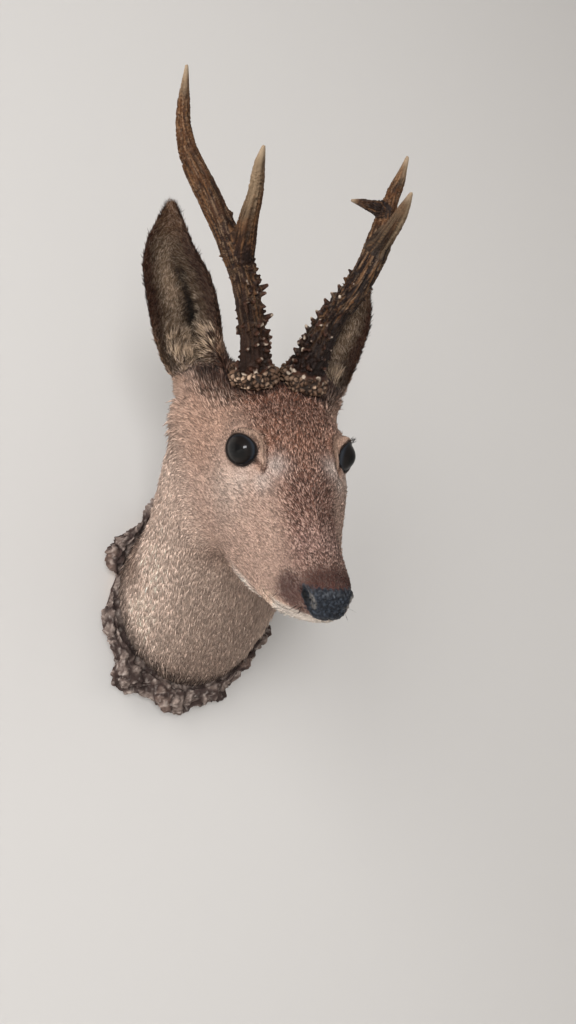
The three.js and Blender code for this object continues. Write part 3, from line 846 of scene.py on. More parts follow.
def skin_facts(points, normals):
    """Everything the coat depends on at head-frame points: colour, lie, length, width, lift, density."""
    x, y, z = np.abs(points[:, 0]), points[:, 1], points[:, 2]
    head = headness(points)
    row = points @ AXES.T + HEAD_PLACE
    sky = normals @ TO_SKY
    colours = toward(neck_colour(row, sky), face_colour(points, normals), head[:, None])
    poll = ramp(-22, -42, y) * ramp(4, 24, z) * ramp(74, 52, x)
    colours = layered(colours, ("351a0f", 0.92 * poll * (0.45 + 0.55 * ramp(6, 20, x))))
    colours, rim, near_lid = eye_colour(colours, points)
    bare = nose_pad(points)
    colours = nose_colour(colours, points, bare)
    bare = np.maximum(bare, rim)

    # The lie of the coat: back from the nose, and down the neck to the board.
    lie_head = np.tile((0.0, -1.0, 0.1), (len(points), 1))
    lie_head[:, 0] = 0.25 * np.sign(points[:, 0]) * ramp(20, 60, y)
    lie_neck = NECK_LIE + ramp(0.2, 0.8, sky)[:, None] * np.array((0.0, 1.4, 0.2)) @ AXES
    lie = toward(lie_neck, lie_head, head[:, None])

    # Behind and below the right ear's root, and round the burrs, the coat stands out in a soft fringe.
    fringe = bell(np.linalg.norm((points - (62, -68, -10)) / (1, 1, 1.3), axis=1), 16) * (points[:, 0] > 0)
    collar = bell(np.hypot(x - 19, y + 50) - 20, 6) * ramp(10, 22, z)
    above, _ = mouth_line(points)
    chin = ramp(2.0, -2.0, above) * ramp(80, 90, y) * ramp(118, 112, y)

    length = toward(COAT_LENGTH["neck"], COAT_LENGTH["low_neck"], ramp(70, 10, row[:, 2]))
    length = toward(length, COAT_LENGTH["face"], head)
    length = toward(length, COAT_LENGTH["muzzle"], ramp(30, 90, y) * head)
    length = toward(length, COAT_LENGTH["poll"], poll) * (1 - 0.72 * near_lid)
    jaw = ramp(-66, -80, z) * head * ramp(90, 60, y)
    for name, weight in {"jaw": jaw, "fringe": fringe, "collar": collar, "chin": chin}.items():
        length = toward(length, COAT_LENGTH[name], weight)
    width = toward(COAT_WIDTH["neck"], COAT_WIDTH["face"], head)
    width = toward(width, COAT_WIDTH["muzzle"], ramp(40, 95, y) * head)
    width = toward(width * (1 - 0.3 * near_lid), COAT_WIDTH["chin"], chin)
    lift = COAT_LIFT["all"] + 16 * poll + 20 * fringe + 12 * collar + 8 * chin
    density = toward(COAT_DENSITY["neck"], COAT_DENSITY["face"], head)
    density = toward(density, COAT_DENSITY["muzzle"], np.maximum(ramp(50, 90, y), near_lid) * head)
    spread = toward(0.1, 0.15, head) + 0.15 * fringe + 0.25 * collar
    # Velvety places show less salt and pepper than the rest.
    velvet = np.maximum(bell(np.hypot(x - 20.5, z + 48) + np.abs(y - 97) * 0.5, 14), ramp(98, 106, y))
    facts = {
        "colour": colours,
        "bare": bare,
        "lie": lie,
        "length": length,
        "width": width,
        "lift": lift,
        "density": density,
        "spread": spread,
        "grain": 1 - 0.75 * velvet,
        "on_ear": np.zeros(len(points), bool),
    }
    for side in SIDES:
        ear_facts(points, side, facts)
    hidden = (row[:, 1] > BARK_FRONT_Y) | (bare > 0.6)
    facts["density"] = np.where(hidden, 0, facts["density"] * (1 - bare))
    return facts


def ear_facts(points, side, facts):
    """The facts changed in place, where the points lie on an ear."""
    ear = ear_field(points, side)
    share, along = ear["share"], ear["along"]
    on = ear["on"] & (along > 0.14)
    if not on.any():
        return
    fade = ramp(0.14, 0.28, along)
    flat = np.abs(share)
    inside = on & (ear["depth"] > 0) & (flat < 0.97)
    outer = on & ~inside
    patchy = noise_at(points, 7.0, 31.0)
    strands = ramp(-0.35, 0.25, noise_at(points, 4.5, 91.0))
    cleft = bell(share + 0.06 - 0.2 * patchy, 0.13 + 0.06 * ramp(0.6, 0.45, along)) * ramp(0.8, 0.6, along)
    hollow = bell(share + 0.02 - 0.2 * (along - 0.34), 0.2) * bell(along - 0.38, 0.16)
    curl = bell(share + 0.1 - 0.2 * patchy, 0.1) * ramp(0.18, 0.24, along)
    fluff = ramp(0.44, 0.28, along + 0.06 * patchy) * ramp(0.85, 0.6, flat) * ramp(0.16, 0.26, along)
    fluff = fluff * (1 - 0.85 * curl)
    # The open side: a brown rim, a pale middle, a fold painted near black as shade, a creamy ridge and a
    # wide dark inner band, with painted shade in the hollow and under the curl at the root.
    inner = layered(
        plain(EAR_INSIDE_AND_SHADE[side], len(points)),
        ("97806a", 0.88 * bell(share + 0.4, 0.24) * bell(along - 0.6, 0.22)),
        ("a5917a", 0.85 * bell(share - 0.1, 0.13) * bell(along - 0.5, 0.2) * strands),
        # Painted shade in the fold.
        ("160d08", 0.95 * cleft),
        ("3b271d", 0.95 * ramp(0.36, 0.56, share + 0.16 * patchy)),
        ("3c2317", 0.95 * ramp(0.7, 0.86, -share + 0.14 * patchy) * ramp(0.25, 0.5, along)),
        ("5b4230", ramp(0.78, 0.92, along) * ramp(0.9, 0.7, flat)),
        # Painted shade deep in the hollow of the cup.
        ("080504", 0.97 * hollow),
        ("b79f86", 0.9 * fluff * strands),
        # Painted shade under the curl at the ear's root.
        ("150c07", 0.9 * curl * ramp(0.5, 0.36, along)),
    )
    back = layered(
        plain("513829", len(points)),
        ("33201a", ramp(0.55, 0.9, flat) * ramp(0.3, 0.5, along)),
        ("36231a", ramp(0.8, 1, along)),
        ("8a6c56", ramp(0.45, 0.2, along)),
    )
    # Inside, the hair runs up the ear and in over its rims; on the back it runs up the ear.
    inward = -np.sign(share)[:, None] * ear["across"]
    length = COAT_LENGTH["ear"]
    inner_length = length + 7.5 * fluff * ramp(0.95, 0.7, flat) - 1.5 * hollow
    sides = (
        (inside, inner, ear["axis"] * 0.8 + inward * 0.6, inner_length),
        (outer, back, ear["axis"] - inward * 0.12, length),
    )
    for mask, tone, way, length in sides:
        facts["colour"][:] = toward(facts["colour"], tone, (fade * mask)[:, None])
        facts["lie"][mask] = toward(facts["lie"], way, fade[:, None])[mask]
        facts["length"][mask] = toward(facts["length"], length, fade)[mask]
    facts["width"][on] = COAT_WIDTH["ear"]
    facts["lift"][inside] = (COAT_LIFT["ear_inside"] + 16 * fluff)[inside]
    facts["lift"][outer] = COAT_LIFT["ear_back"]
    facts["density"][on] = COAT_DENSITY["ear"]
    facts["spread"][on] = 0.34
    facts["grain"][on] = (0.75 + 0.2 * fluff)[on]
    facts["on_ear"][on] = True


def finish_skin():
    """The skin's colours, piece and unwrap."""
    points = to_head(points_of(skin))
    normals = unit(normals_of(skin) @ AXES)
    facts = skin_facts(points, normals)
    paint(skin, "coat", facts["colour"] * HIDE_PAINTED_SHADE)
    bare = skin.attributes.new("bare", "FLOAT", "POINT")
    bare.data.foreach_set("value", facts["bare"])
    piece = add_piece("skin", skin, HIDE, FLESH)
    for o in bpy.context.selected_objects:
        o.select_set(False)
    piece.select_set(True)
    bpy.context.view_layer.objects.active = piece
    skin.uv_layers.new(name="OFBake")
    bpy.ops.object.mode_set(mode="EDIT")
    bpy.ops.mesh.select_all(action="SELECT")
    bpy.ops.uv.smart_project(angle_limit=math.radians(66), island_margin=0.002)
    bpy.ops.object.mode_set(mode="OBJECT")


finish_skin()

# ---- The coat -----------------------------------------------------------------------------
TUFT_COUNT = 366000
TUFTS_PER_PIECE = 48000  # four triangles each, so that a piece stays under 200,000
UV_HALF = 0.0015  # half the width of a tuft's patch on the skin's unwrap
DARK_PICK = -0.55  # hairs that pick below this are dark
PALE_PICK = 0.66  # hairs that pick above this are pale
GUARD_SHARE = 0.03
LASHES_PER_EYE = 46
WHISKERS = 10


def scatter():
    """Places on the skin for every tuft, with their normals and their places on the skin's unwrap."""
    skin.calc_loop_triangles()
    corners = read(skin.loop_triangles, "vertices", 3, int)
    loops = read(skin.loop_triangles, "loops", 3, int)
    uv = read(skin.uv_layers["OFBake"].data, "uv", 2)
    points = to_head(points_of(skin))
    normals = normals_of(skin) @ AXES
    tri = points[corners]
    cross = np.cross(tri[:, 1] - tri[:, 0], tri[:, 2] - tri[:, 0])
    area = np.linalg.norm(cross, axis=1) / 2
    chance = area * skin_facts(tri.mean(axis=1), unit(cross))["density"]
    chosen = rng.choice(len(corners), TUFT_COUNT, p=chance / chance.sum())
    u, v = rng.random(len(chosen)), rng.random(len(chosen))
    over = u + v > 1
    u[over], v[over] = 1 - u[over], 1 - v[over]
    w = np.stack([1 - u - v, u, v], axis=1)[:, :, None]
    place = (points[corners[chosen]] * w).sum(1)
    normal = unit((normals[corners[chosen]] * w).sum(1))
    on_map = (uv[loops[chosen]] * w).sum(1)
    return place, normal, on_map


def tuft_mesh(name, root, middle, tip, side, colours, on_map):
    """Slim closed locks: a root, two points abreast at the middle, and a tip clear of the skin."""
    count = len(root)
    points = np.stack([root, middle - side, middle + side, tip], axis=1)
    shape = np.array([(0, 2, 1), (1, 2, 3), (0, 1, 3), (0, 3, 2)])
    faces = (shape[None] + np.arange(count)[:, None, None] * 4).reshape(-1, 3)
    mesh = bpy.data.meshes.new(name)
    mesh.vertices.add(count * 4)
    mesh.vertices.foreach_set("co", from_head(points.reshape(-1, 3)).ravel())
    mesh.loops.add(faces.size)
    mesh.loops.foreach_set("vertex_index", faces.ravel())
    mesh.polygons.add(len(faces))
    mesh.polygons.foreach_set("loop_start", np.arange(0, faces.size, 3))
    smooth_faces(mesh)
    mesh.update(calc_edges=True)
    spot = np.array([(0, -1), (-1, 0), (1, 0), (0, 1)]) * UV_HALF
    patch = (on_map[:, None] + spot[None]).reshape(-1, 2)
    layer = mesh.uv_layers.new(name="OFBake")
    layer.data.foreach_set("uv", patch[faces.ravel()].ravel())
    paint(mesh, "coat", colours.reshape(-1, 3))
    return mesh


def turned(vectors, axes, angles):
    """Each vector turned about its own axis."""
    c, s = np.cos(angles)[:, None], np.sin(angles)[:, None]
    return vectors * c + np.cross(axes, vectors) * s


def hair_colours(facts, place):
    """Root, middle and tip colours: roe hair is banded, so dark and pale hairs mix like salt and pepper."""
    base = facts["colour"] * (1 + 0.16 * noise_at(place, 6.0, 40.0))[:, None]
    tone = rng.normal(1.0, 0.12, (len(place), 1))
    # Hairs of a like tone lie together in small locks, drawn out along the lie.
    head = headness(place)[:, None]
    on_neck = place - (place @ NECK_LIE)[:, None] * NECK_LIE * 0.72
    on_face = place * (1, 0.5, 1)
    lock = np.where(head[:, 0] > 0.5, noise_at(on_face, 0.8, 3.3), noise_at(on_neck, 0.75, 3.3))
    pick = (lock / 0.26 + 0.6 * rng.normal(size=len(place)))[:, None]
    # Pale coat holds its dark hairs less deep than brown coat does.
    brightness = base.mean(axis=1, keepdims=True)
    pale = ramp(0.1, 0.32, brightness)
    depth = 0.22 + (0.44 - 0.14 * head) * pale
    light = 2.9 - (1.78 - 0.18 * head) * pale
    shade = np.where(pick < DARK_PICK, depth, np.where(pick > PALE_PICK, light, 0.95)) * tone
    shade = 1 + (shade - 1) * facts["grain"][:, None]
    cream = linear("eddfd0") * brightness * 1.4
    own = np.where(pick > PALE_PICK, toward(base, cream, 0.45 - 0.35 * pale), base)
    tip = own * np.where(shade < 0.7, shade * 0.75, shade)
    middle = own * (0.2 + 0.8 * shade)
    root = base * 0.4
    return np.clip(np.stack([root, middle, middle, tip], axis=1), 0.004, 0.92)


def make_coat():
    place, normal, on_map = scatter()
    facts = skin_facts(place, normal)
    count = len(place)
    lie = unit(facts["lie"] - normal * (facts["lie"] * normal).sum(1, keepdims=True))
    waves = noise_at(place, 22.0, 3.1) * 0.25 + noise_at(place, 7.0, 13.1) * 0.15
    lie = turned(lie, normal, waves + rng.normal(0, 1, count) * facts["spread"])
    length = facts["length"] * rng.uniform(0.7, 1.2, count)
    lift = np.radians(facts["lift"] * rng.uniform(0.5, 1.5, count))
    # A few guard hairs reach past the others and blur the outline.
    on_ear = facts["on_ear"]
    guard = (rng.random(count) < GUARD_SHARE) & ~on_ear
    length = np.where(guard, length * 1.2, length)[:, None]
    lift = np.where(guard, lift * 1.7, lift)[:, None]
    side = np.cross(normal, lie) * (facts["width"] * rng.uniform(0.7, 1.25, count) / 2)[:, None]
    root = place - normal * 0.35
    middle = place + lie * length * 0.42 * np.cos(lift) + normal * length * 0.46 * np.sin(lift)
    tip = place + lie * length * np.cos(lift * 0.8) + normal * length * 0.76 * np.sin(lift)
    locks = (root, middle, tip, side, hair_colours(facts, place), on_map)
    on_head = headness(place) > 0.5
    pieces = {"ears": on_ear, "face": on_head & ~on_ear, "neck": ~on_head & ~on_ear}
    for label, mask in pieces.items():
        chosen = np.flatnonzero(mask)
        parts = math.ceil(len(chosen) / TUFTS_PER_PIECE)
        for n, part in enumerate(np.array_split(chosen, parts)):
            name = f"coat_{label}_{n + 1}"
            mesh = tuft_mesh(name, *(values[part] for values in locks))
            add_piece(name, mesh, HAIR)


def make_lashes():
    """Lashes along the upper lids, and a few whiskers on the lips."""
    points = to_head(points_of(skin))
    normals = unit(normals_of(skin) @ AXES)
    uv = np.zeros((len(points), 2))
    uv[read(skin.loops, "vertex_index", 1, int)[:, 0]] = read(skin.uv_layers["OFBake"].data, "uv", 2)
    roots, ways, lengths = [], [], []
    for sign in SIDES.values():
        distance, x, y, z, _ = lid_distance(points, sign)
        _, out, along, up = eye_frame(sign)
        angle = np.degrees(np.arctan2(y, x))
        lid = np.flatnonzero((np.abs(distance - 1.3) < 0.35) & (z > 0) & (angle > 25) & (angle < 160))
        lid = rng.choice(lid, min(len(lid), LASHES_PER_EYE), replace=False)
        roots.append(lid)
        ways.append(out * 0.75 + up * 0.75 + along * 0.25 + rng.normal(0, 0.14, (len(lid), 3)))
        lengths.append(rng.uniform(4, 8, len(lid)))
    x, y = np.abs(points[:, 0]), points[:, 1]
    above, _ = mouth_line(points)
    lip = np.flatnonzero((y > 84) & (x > 8) & (above > 3) & (above < 14) & (nose_pad(points) < 0.1))
    lip = rng.choice(lip, WHISKERS, replace=False)
    roots.append(lip)
    ways.append(normals[lip] + np.array((0, 0.2, -0.35)) + rng.normal(0, 0.3, (len(lip), 3)))
    lengths.append(rng.uniform(4, 9, len(lip)))
    chosen = np.concatenate(roots)
    way = unit(np.concatenate(ways))
    length = np.concatenate(lengths)[:, None]
    root = points[chosen]
    bend = np.array((0, -0.25, -0.1)) * length * 0.4
    side = unit(np.cross(way, rng.normal(size=way.shape))) * 0.07
    middle = root + way * length * 0.5 - bend * 0.6
    tip = root + way * length + bend
    colours = np.tile(linear("1a120e"), (len(chosen), 4, 1))
    mesh = tuft_mesh("lashes", root - way * 0.4, middle, tip, side, colours, uv[chosen])
    add_piece("lashes", mesh, HAIR)


make_coat()
make_lashes()

# ---- Antlers ------------------------------------------------------------------------------

ANTLERS = {
    "right": {
        "beam": (
            [(21, -50, 30), (27.5, -51, 61), (34.5, -52, 82), (42, -53, 102), (49, -54, 114),
             (55, -56, 123.5), (60.5, -59, 132), (65.5, -62, 139), (75.5, -67, 153), (85.5, -72, 167),
             (90.5, -76, 178), (92.5, -81, 188.5), (93, -86, 202), (93, -91, 219)],
            [12, 9.6, 9.4, 9.4, 9.4, 9, 8.6, 8.4, 8.2, 7.2, 5.8, 4.8, 3.6, 0.9],
        ),
        "front_tine": (
            [(46.5, -53, 117), (47.5, -50, 128.5), (48.5, -47, 141), (48.5, -41, 161), (50.5, -38, 174),
             (51, -34, 188)],
            [8.6, 8, 6.8, 4.9, 4.2, 0.9],
        ),
    },
    "left": {
        "beam": (
            [(-15, -50, 30), (-20, -50, 62), (-29, -52, 85), (-39, -54, 102), (-47, -57, 121),
             (-52, -61, 137), (-54, -65, 151), (-55.5, -68, 165), (-60, -72, 179), (-64, -77, 196)],
            [13, 11.4, 9.6, 9, 9.2, 9.8, 7.8, 6, 4.4, 1],
        ),
        "front_tine": (
            [(-51, -58, 134), (-54, -51, 150), (-55.5, -44, 165), (-54, -36, 178)], [7, 6, 4.4, 1]
        ),
        "rear_tine": (
            [(-51.5, -65, 160), (-47, -77, 159.5), (-43.5, -88, 159), (-39, -98, 158)], [6.5, 4.3, 2.9, 0.8]
        ),
    },
}
ANTLER_NODES = {
    "right": ["antler_right_beam", "antler_right_top", "antler_right_front_tine"],
    "left": ["antler_left_beam", "antler_left_top", "antler_left_front_tine", "antler_left_rear_tine"],
}
# The ground colour of each antler, darker on the left one.
ANTLER_GROUND = {"right": "28170f", "left": "1b0f0b"}
ANTLER_VOXEL = 0.8
BURR_RADIUS = 18.5
PEARLS = 230
BURR_CRUMBS = 190
CORAL_SIZE = 3.5
SEARCH_PARTS = 24
BEAM_STEPS = 240
BRANCH_SAMPLES = {"beam": 140, "front_tine": 60, "rear_tine": 60}
# How far from its tip each branch starts to turn ivory, and where it is ivory through.
IVORY = {"beam": (26, 5), "front_tine": (62, 22), "rear_tine": (12, 3)}
KNOB_BALLS = 5
KNOB_WAYS = {"right": (-1.0, 0.25, 0.1), "left": (1.0, -0.1, 0.05)}
# Big knobs on the beam's inner side: share of the beam's length, and how far they stand out.
KNOBS = {
    "right": [(0.05, 5), (0.085, 4), (0.12, 6.5), (0.15, 5), (0.18, 6), (0.21, 6.5), (0.26, 4.5),
              (0.31, 6.5), (0.35, 3), (0.39, 3), (0.43, 2.5), (0.5, 2.2), (0.55, 2)],
    "left": [(0.07, 4), (0.10, 4.5), (0.14, 4), (0.18, 4.5), (0.22, 4.5), (0.26, 4), (0.3, 4.5),
             (0.34, 4.5), (0.38, 4.5), (0.42, 4), (0.46, 3.5), (0.5, 3)],
}


def antler_samples(side):
    """Down the middle of every branch: points, tangents, radii, lengths from root and tip, branch."""
    rows = []
    for n, (name, (path, radii)) in enumerate(ANTLERS[side].items()):
        points, tangents, along, share = even_curve(path, BRANCH_SAMPLES[name])
        radius, to_tip, branch = catmull(radii, share), along[-1] - along, np.full(len(along), n)
        rows.append(np.column_stack([points, tangents, radius, along, to_tip, branch]))
    return np.concatenate(rows)


def add_ball(bm, centre_mm, radius_mm, detail):
    place = Matrix.Translation(Vector(from_head(centre_mm)))
    bmesh.ops.create_icosphere(bm, subdivisions=detail, radius=radius_mm * MM, matrix=place)


def add_pearls(bm, side):
    """Small pearls over the lower beam, big knobs on one side, and the burr's crumbs."""
    path, radii = ANTLERS[side]["beam"]
    points, tangents, _, share = even_curve(path, BEAM_STEPS)
    radius = catmull(radii, share)
    inner = np.array(KNOB_WAYS[side])
    for place, size in KNOBS[side]:
        for shift in (-1, 1):
            i = int((place + rng.uniform(-0.008, 0.008)) * BEAM_STEPS)
            way = unit(inner + np.array((0, 0.5, 0)) * shift + 0.25 * rng.normal(size=3))
            way = unit(way - tangents[i] * way.dot(tangents[i]))
            own = size * (1 if shift < 0 else rng.uniform(0.5, 0.9))
            lean = unit(way + tangents[i] * rng.uniform(0, 0.6))
            for k in range(KNOB_BALLS):
                thick = (2.5 - 0.28 * k) * (0.6 + own / 12)
                reach = lean * own * k / (KNOB_BALLS - 1)
                add_ball(bm, points[i] + way * (radius[i] - 1) + reach, thick, 2)
    for _ in range(PEARLS):
        i = int(BEAM_STEPS * 0.5 * rng.random() ** 1.1)
        around = rng.normal(size=3) + inner * 0.8 + np.array((0, 0.5, 0))
        way = unit(around - tangents[i] * around.dot(tangents[i]))
        size = rng.uniform(1.0, 2.1) * (1.15 - i / BEAM_STEPS)
        add_ball(bm, points[i] + way * (radius[i] + size * rng.uniform(0.2, 0.8)), size, 1)
    foot, axis = points[2], tangents[2]
    for _ in range(BURR_CRUMBS):
        around = rng.normal(size=3)
        way = unit(around - axis * around.dot(axis))
        size = rng.uniform(1.1, 2.6)
        rise = rng.uniform(-1, 13)
        reach = BURR_RADIUS - 0.07 * (rise - 4) ** 2 - size * 0.5 + rng.uniform(-1, 1)
        add_ball(bm, foot + way * reach + axis * rise, size, 1)


def make_antler(side):
    nodes = ANTLER_NODES[side]
    bm = joined_nodes(nodes)
    add_pearls(bm, side)
    mesh = remeshed(bm, "antler_" + side, ANTLER_VOXEL)
    points = to_head(points_of(mesh))
    samples = antler_samples(side)
    # The nearest samples are found a part at a time, to spare memory.
    nearest = np.concatenate([
        np.linalg.norm(part[:, None] - samples[None, :, :3], axis=2).argmin(axis=1)
        for part in np.array_split(points, SEARCH_PARTS)
    ])
    own = samples[nearest]
    tangent = own[:, 3:6]
    radius, up, tip, branch = own[:, 6:].T
    offset = points - own[:, :3]
    radial = offset - tangent * (offset * tangent).sum(1, keepdims=True)
    height = np.linalg.norm(radial, axis=1) - radius
    ring = unit(radial)
    beam = branch == 0
    plain_part = 1 - ramp(0.9, 2.4, height)
    points = relaxed(points, edges_of(mesh), 3, 0.5)
    # Lengthwise grooves: many round the branch, each running far along it.
    lines = ring * 3.6 + tangent * (up / 38)[:, None] + (noise_at(points, 26.0, 3.0) * 0.35)[:, None]
    groove = 1 - np.abs(noise_at(lines, 1.0, 7.3)) * 3.4
    fine = 1 - np.abs(noise_at(lines * 2.1, 1.0, 2.7)) * 3.0
    grit = noise_at(points, 1.8, 9.0)
    cut = 1.1 * ramp(0.3, 0.95, groove) + 0.6 * ramp(0.3, 1, fine) + 0.35 * grit
    cut = cut * ramp(3, 26, tip) * plain_part
    # The burr is a rim of coral: lumps of its own, with dark gaps between them.
    burr = ramp(2.6, 4.2, height) * ramp(24, 15, up) * beam
    coral, coral_shade = chunks_at(points * (1, 1, 0.8), CORAL_SIZE, 6.5)
    points = points - ring * (cut - 0.3 - 2.0 * burr * (coral - 0.75))[:, None]
    set_points(mesh, from_head(points))

    patchy = noise_at(points, 9.0, 1.7)
    outer_side = ring[:, 0] * SIDES[side]
    stripe = ramp(0.05, 0.45, noise_at(lines * 2.2, 1.0, 11.0)) * plain_part
    hair_lines = ramp(0.15, 0.42, noise_at(ring * 11 + tangent * (up / 7)[:, None], 1.0, 31.0)) * plain_part
    ivory = np.zeros(len(points))
    for n, (far, near) in enumerate(IVORY.values()):
        ivory = np.where(branch == n, ramp(far, near, tip), ivory)
    # The outer side of each tine is rubbed pale, the inner side keeps its stain.
    rubbed = 0.35 + 0.65 * ramp(-0.55, 0.15, outer_side)
    veined = ramp(-0.45, 0.15, noise_at(lines * 1.6, 1.0, 5.0) + 0.4 * ramp(34, 5, tip))
    crust = ramp(3.2, 5.0, height) * beam * ramp(-0.2, 0.35, noise_at(points, 3.0, 2.2)) * (1 - burr)
    dots = ramp(1.5, 2.3, height) * ramp(0.15, 0.4, noise_at(points, 4.0, 15.0)) * beam * (1 - burr)
    bright = ramp(0.3, 0.65, coral) * ramp(0.0, 0.3, coral_shade)
    bright = bright * (0.25 + 0.75 * ramp(-0.5, 0.3, outer_side))
    colours = layered(
        plain(ANTLER_GROUND[side], len(points)),
        ("4a2d17", 0.85 * np.where(beam, ramp(100, 140, up), ramp(5, 30, up))),
        ("170d09", 0.6 * ramp(-0.1, 0.4, patchy)),
        ("7a5637", 0.55 * stripe * np.where(beam, ramp(10, 90, up), 1)),
        ("957a60", 0.4 * hair_lines * ramp(20, 90, up)),
        ("120a06", 0.75 * ramp(0.5, 1, groove) * plain_part),
        ("85715a", 0.9 * ivory * veined * rubbed),
        ("a39079", 0.6 * ramp(10, 2, tip) * ivory),
        # Pearls: dark feet, a pale crust and paler dots.
        ("4d2f22", 0.5 * ramp(1.0, 2.4, height) * beam),
        ("94796a", 0.7 * crust),
        ("c6b6a4", 0.75 * dots),
        # The burr, with its bright lumps and dark gaps.
        ("654e3e", 0.85 * burr),
        ("c0a58d", 0.75 * burr * bright),
        ("100906", 0.9 * burr * ramp(0.4, 0.1, coral)),
    )
    paint(mesh, "antler", colours)
    smooth_faces(mesh)
    add_piece("antler_" + side, mesh, ANTLER, nodes)


for side in SIDES:
    make_antler(side)

# ---- Bark and board -----------------------------------------------------------------------

BARK_VOXEL = 1.15
LOBE_SIZE = 14.0
FLAKE_SIZE = 6.5
# Round the ring from +x towards +z: degrees, width in degrees, and millimetres outwards.
SPUR = (117, 7, 7.5)
NOTCH = (135, 6, -4.5)


def make_bark():
    mesh = remeshed(joined_nodes(["bark"]), "bark_ring", BARK_VOXEL)
    edges = edges_of(mesh)
    points = relaxed(points_of(mesh) / MM, edges, 8, 0.5)
    set_points(mesh, points * MM)
    normals = unit(relaxed(normals_of(mesh), edges, 6, 0.6))
    # Thick lobes split by deep cracks, each with its own height, under thin flakes; the back stays flat.
    warp = np.column_stack([noise_at(points, 9.0, seed) for seed in (1.0, 2.0, 3.0)])
    bent = points + 5.0 * warp
    plate, plate_shade = chunks_at(bent * (1, 1, 0.7), LOBE_SIZE, 4.2)
    flake, flake_shade = chunks_at((bent + 3 * warp) * (1, 1, 1.9), FLAKE_SIZE, 8.1)
    lumps = noise_at(points, 21.0, 5.0)
    ridge = 1 - 2.6 * np.abs(noise_at(bent * (1, 1, 0.5), 4.5, 12.0))
    crust = noise_at(points, 3.0, 6.0) + 0.6 * noise_at(points, 1.7, 16.0)
    free = ramp(-12.6, -15.5, points[:, 1])
    rim = ramp(0.8, 0.95, np.hypot(points[:, 0] / 80, points[:, 2] / 100))
    rise = 0.6 + 2.2 * (plate - 0.7) + 3.4 * (plate_shade - 0.5)
    rise = rise + 0.9 * (flake - 0.7) + 1.3 * (flake_shade - 0.5)
    rise = rise + 2.4 * lumps + 1.1 * ridge + 0.8 * crust
    points = points + normals * (rise * free * (0.35 + 0.65 * rim))[:, None]
    # One spur of bark stands further out beside the neck, above a notch and a round knob.
    around = np.degrees(np.arctan2(points[:, 2], points[:, 0]))
    spur = sum(out * bell(around - at, width) for at, width, out in (SPUR, NOTCH))
    points = points * (1, 0, 1) * (1 + spur * rim * free / 90)[:, None] + points * (0, 1, 0)
    points = relaxed(points, edges, 1, 0.4)
    set_points(mesh, points * MM)
    colours = layered(
        plain("98887f", len(points)),
        ("725b50", 0.7 * ramp(0.5, 0.8, plate_shade)),
        ("a4978f", 0.6 * ramp(0.45, 0.15, flake_shade) * flake),
        ("2c2221", 0.9 * (1 - ramp(0.0, 0.4, plate))),
        ("3d312e", 0.6 * (1 - flake)),
        ("41332f", 0.7 * ramp(0.3, -0.5, ridge)),
        ("463835", 0.5 * ramp(0.0, -0.6, crust)),
        ("b3a79f", 0.45 * ramp(0.25, 0.8, crust)),
    )
    paint(mesh, "bark", colours)
    smooth_faces(mesh)
    add_piece("bark_ring", mesh, BARK, ["bark"])


make_bark()

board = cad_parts["board"]
board.data.materials.clear()
board.data.materials.append(WOOD)

# ---- Stage and light ----------------------------------------------------------------------

WALL_RADIUS = 4.0
WALL_OPENING = 0.9  # of the board's width and height
WALL_GAP = 0.0012  # metres between the part's back and the wall
FLOOR_HALF = 6.0
FLOOR_HEIGHT = -1.35
FACE = (-0.04, -0.25, 0.05)
# A wide window, a near one that the eyes mirror, and the room's own light. For each: place, size,
# watts, colour, and whether it shows in glossy surfaces.
LIGHTS = {
    "window": ((-3.2, -1.3, 0.7), 4.5, 190, "fffdfb", False),
    "near_window": ((-0.62, -1.7, -0.05), 0.42, 13, "ffffff", True),
    "fill": ((1.6, -2.1, 0.6), 2.0, 8, "fff7f0", False),
}
WORLD_STRENGTH = 0.42


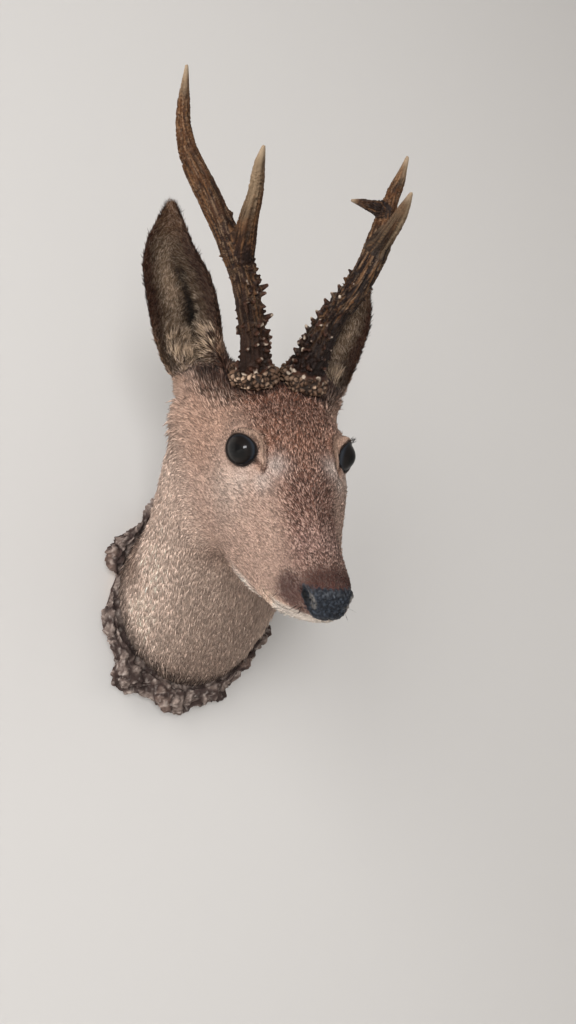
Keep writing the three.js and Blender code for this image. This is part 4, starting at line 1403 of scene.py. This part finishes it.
def flat_plane(name, bm, matrix, hex_colour, see_through_back):
    bmesh.ops.transform(bm, matrix=matrix, verts=bm.verts)
    mesh = bpy.data.meshes.new(name)
    bm.to_mesh(mesh)
    bm.free()
    # Matt paint.
    material, shader = new_material(name + "_paint", 0.9, 0.2)
    shader.inputs["Base Color"].default_value = rgba(hex_colour)
    if see_through_back:
        side = add_node(material, "ShaderNodeNewGeometry")
        clear = add_node(material, "ShaderNodeBsdfTransparent")
        both = add_node(material, "ShaderNodeMixShader", {}, {"Fac": side.outputs["Backfacing"]})
        link(material, shader.outputs["BSDF"], both.inputs[1])
        link(material, clear.outputs["BSDF"], both.inputs[2])
        output = material.node_tree.nodes["Material Output"]
        link(material, both.outputs["Shader"], output.inputs["Surface"])
    mesh.materials.append(material)
    add_object(name, mesh)


def make_wall():
    """The wall, open where the board hides it, so that the board's back is lit too."""
    low, high = (Vector(corner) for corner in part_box("board"))
    middle, half = (low + high) / 2, (high - low) / 2 * WALL_OPENING
    bm = bmesh.new()
    bmesh.ops.create_circle(bm, segments=64, radius=1.0)
    bmesh.ops.scale(bm, vec=(half.x, half.z, 1), verts=bm.verts)
    rim = bmesh.ops.extrude_edge_only(bm, edges=bm.edges)["geom"]
    for vert in (item for item in rim if isinstance(item, bmesh.types.BMVert)):
        vert.co = vert.co.normalized() * WALL_RADIUS
    bm.normal_update()
    bmesh.ops.reverse_faces(bm, faces=[face for face in bm.faces if face.normal.z < 0])
    place = Matrix.Translation((middle.x, WALL_GAP, middle.z)) @ Matrix.Rotation(math.pi / 2, 4, "X")
    flat_plane("wall", bm, place, "c9c7c5", True)


def make_floor():
    bm = bmesh.new()
    bmesh.ops.create_grid(bm, x_segments=1, y_segments=1, size=FLOOR_HALF)
    flat_plane("floor", bm, Matrix.Translation((0, 0, FLOOR_HEIGHT)), "d6d5d3", False)


def area_light(name, place, size, power, hex_colour, mirrored):
    data = bpy.data.lights.new(name, "AREA")
    data.shape = "SQUARE"
    data.size = size
    data.energy = power
    data.color = linear(hex_colour)
    lamp = add_object(name, data)
    lamp.location = place
    lamp.rotation_euler = (Vector(FACE) - Vector(place)).to_track_quat("-Z", "Y").to_euler()
    lamp.visible_glossy = mirrored


make_wall()
make_floor()
for name, settings in LIGHTS.items():
    area_light(name, *settings)

world = bpy.data.worlds.new("studio")
bpy.context.scene.world = world
world.use_nodes = True
world.node_tree.nodes["Background"].inputs["Color"].default_value = rgba("e8e5e1")
world.node_tree.nodes["Background"].inputs["Strength"].default_value = WORLD_STRENGTH
bpy.context.scene.view_settings.view_transform = "Standard"
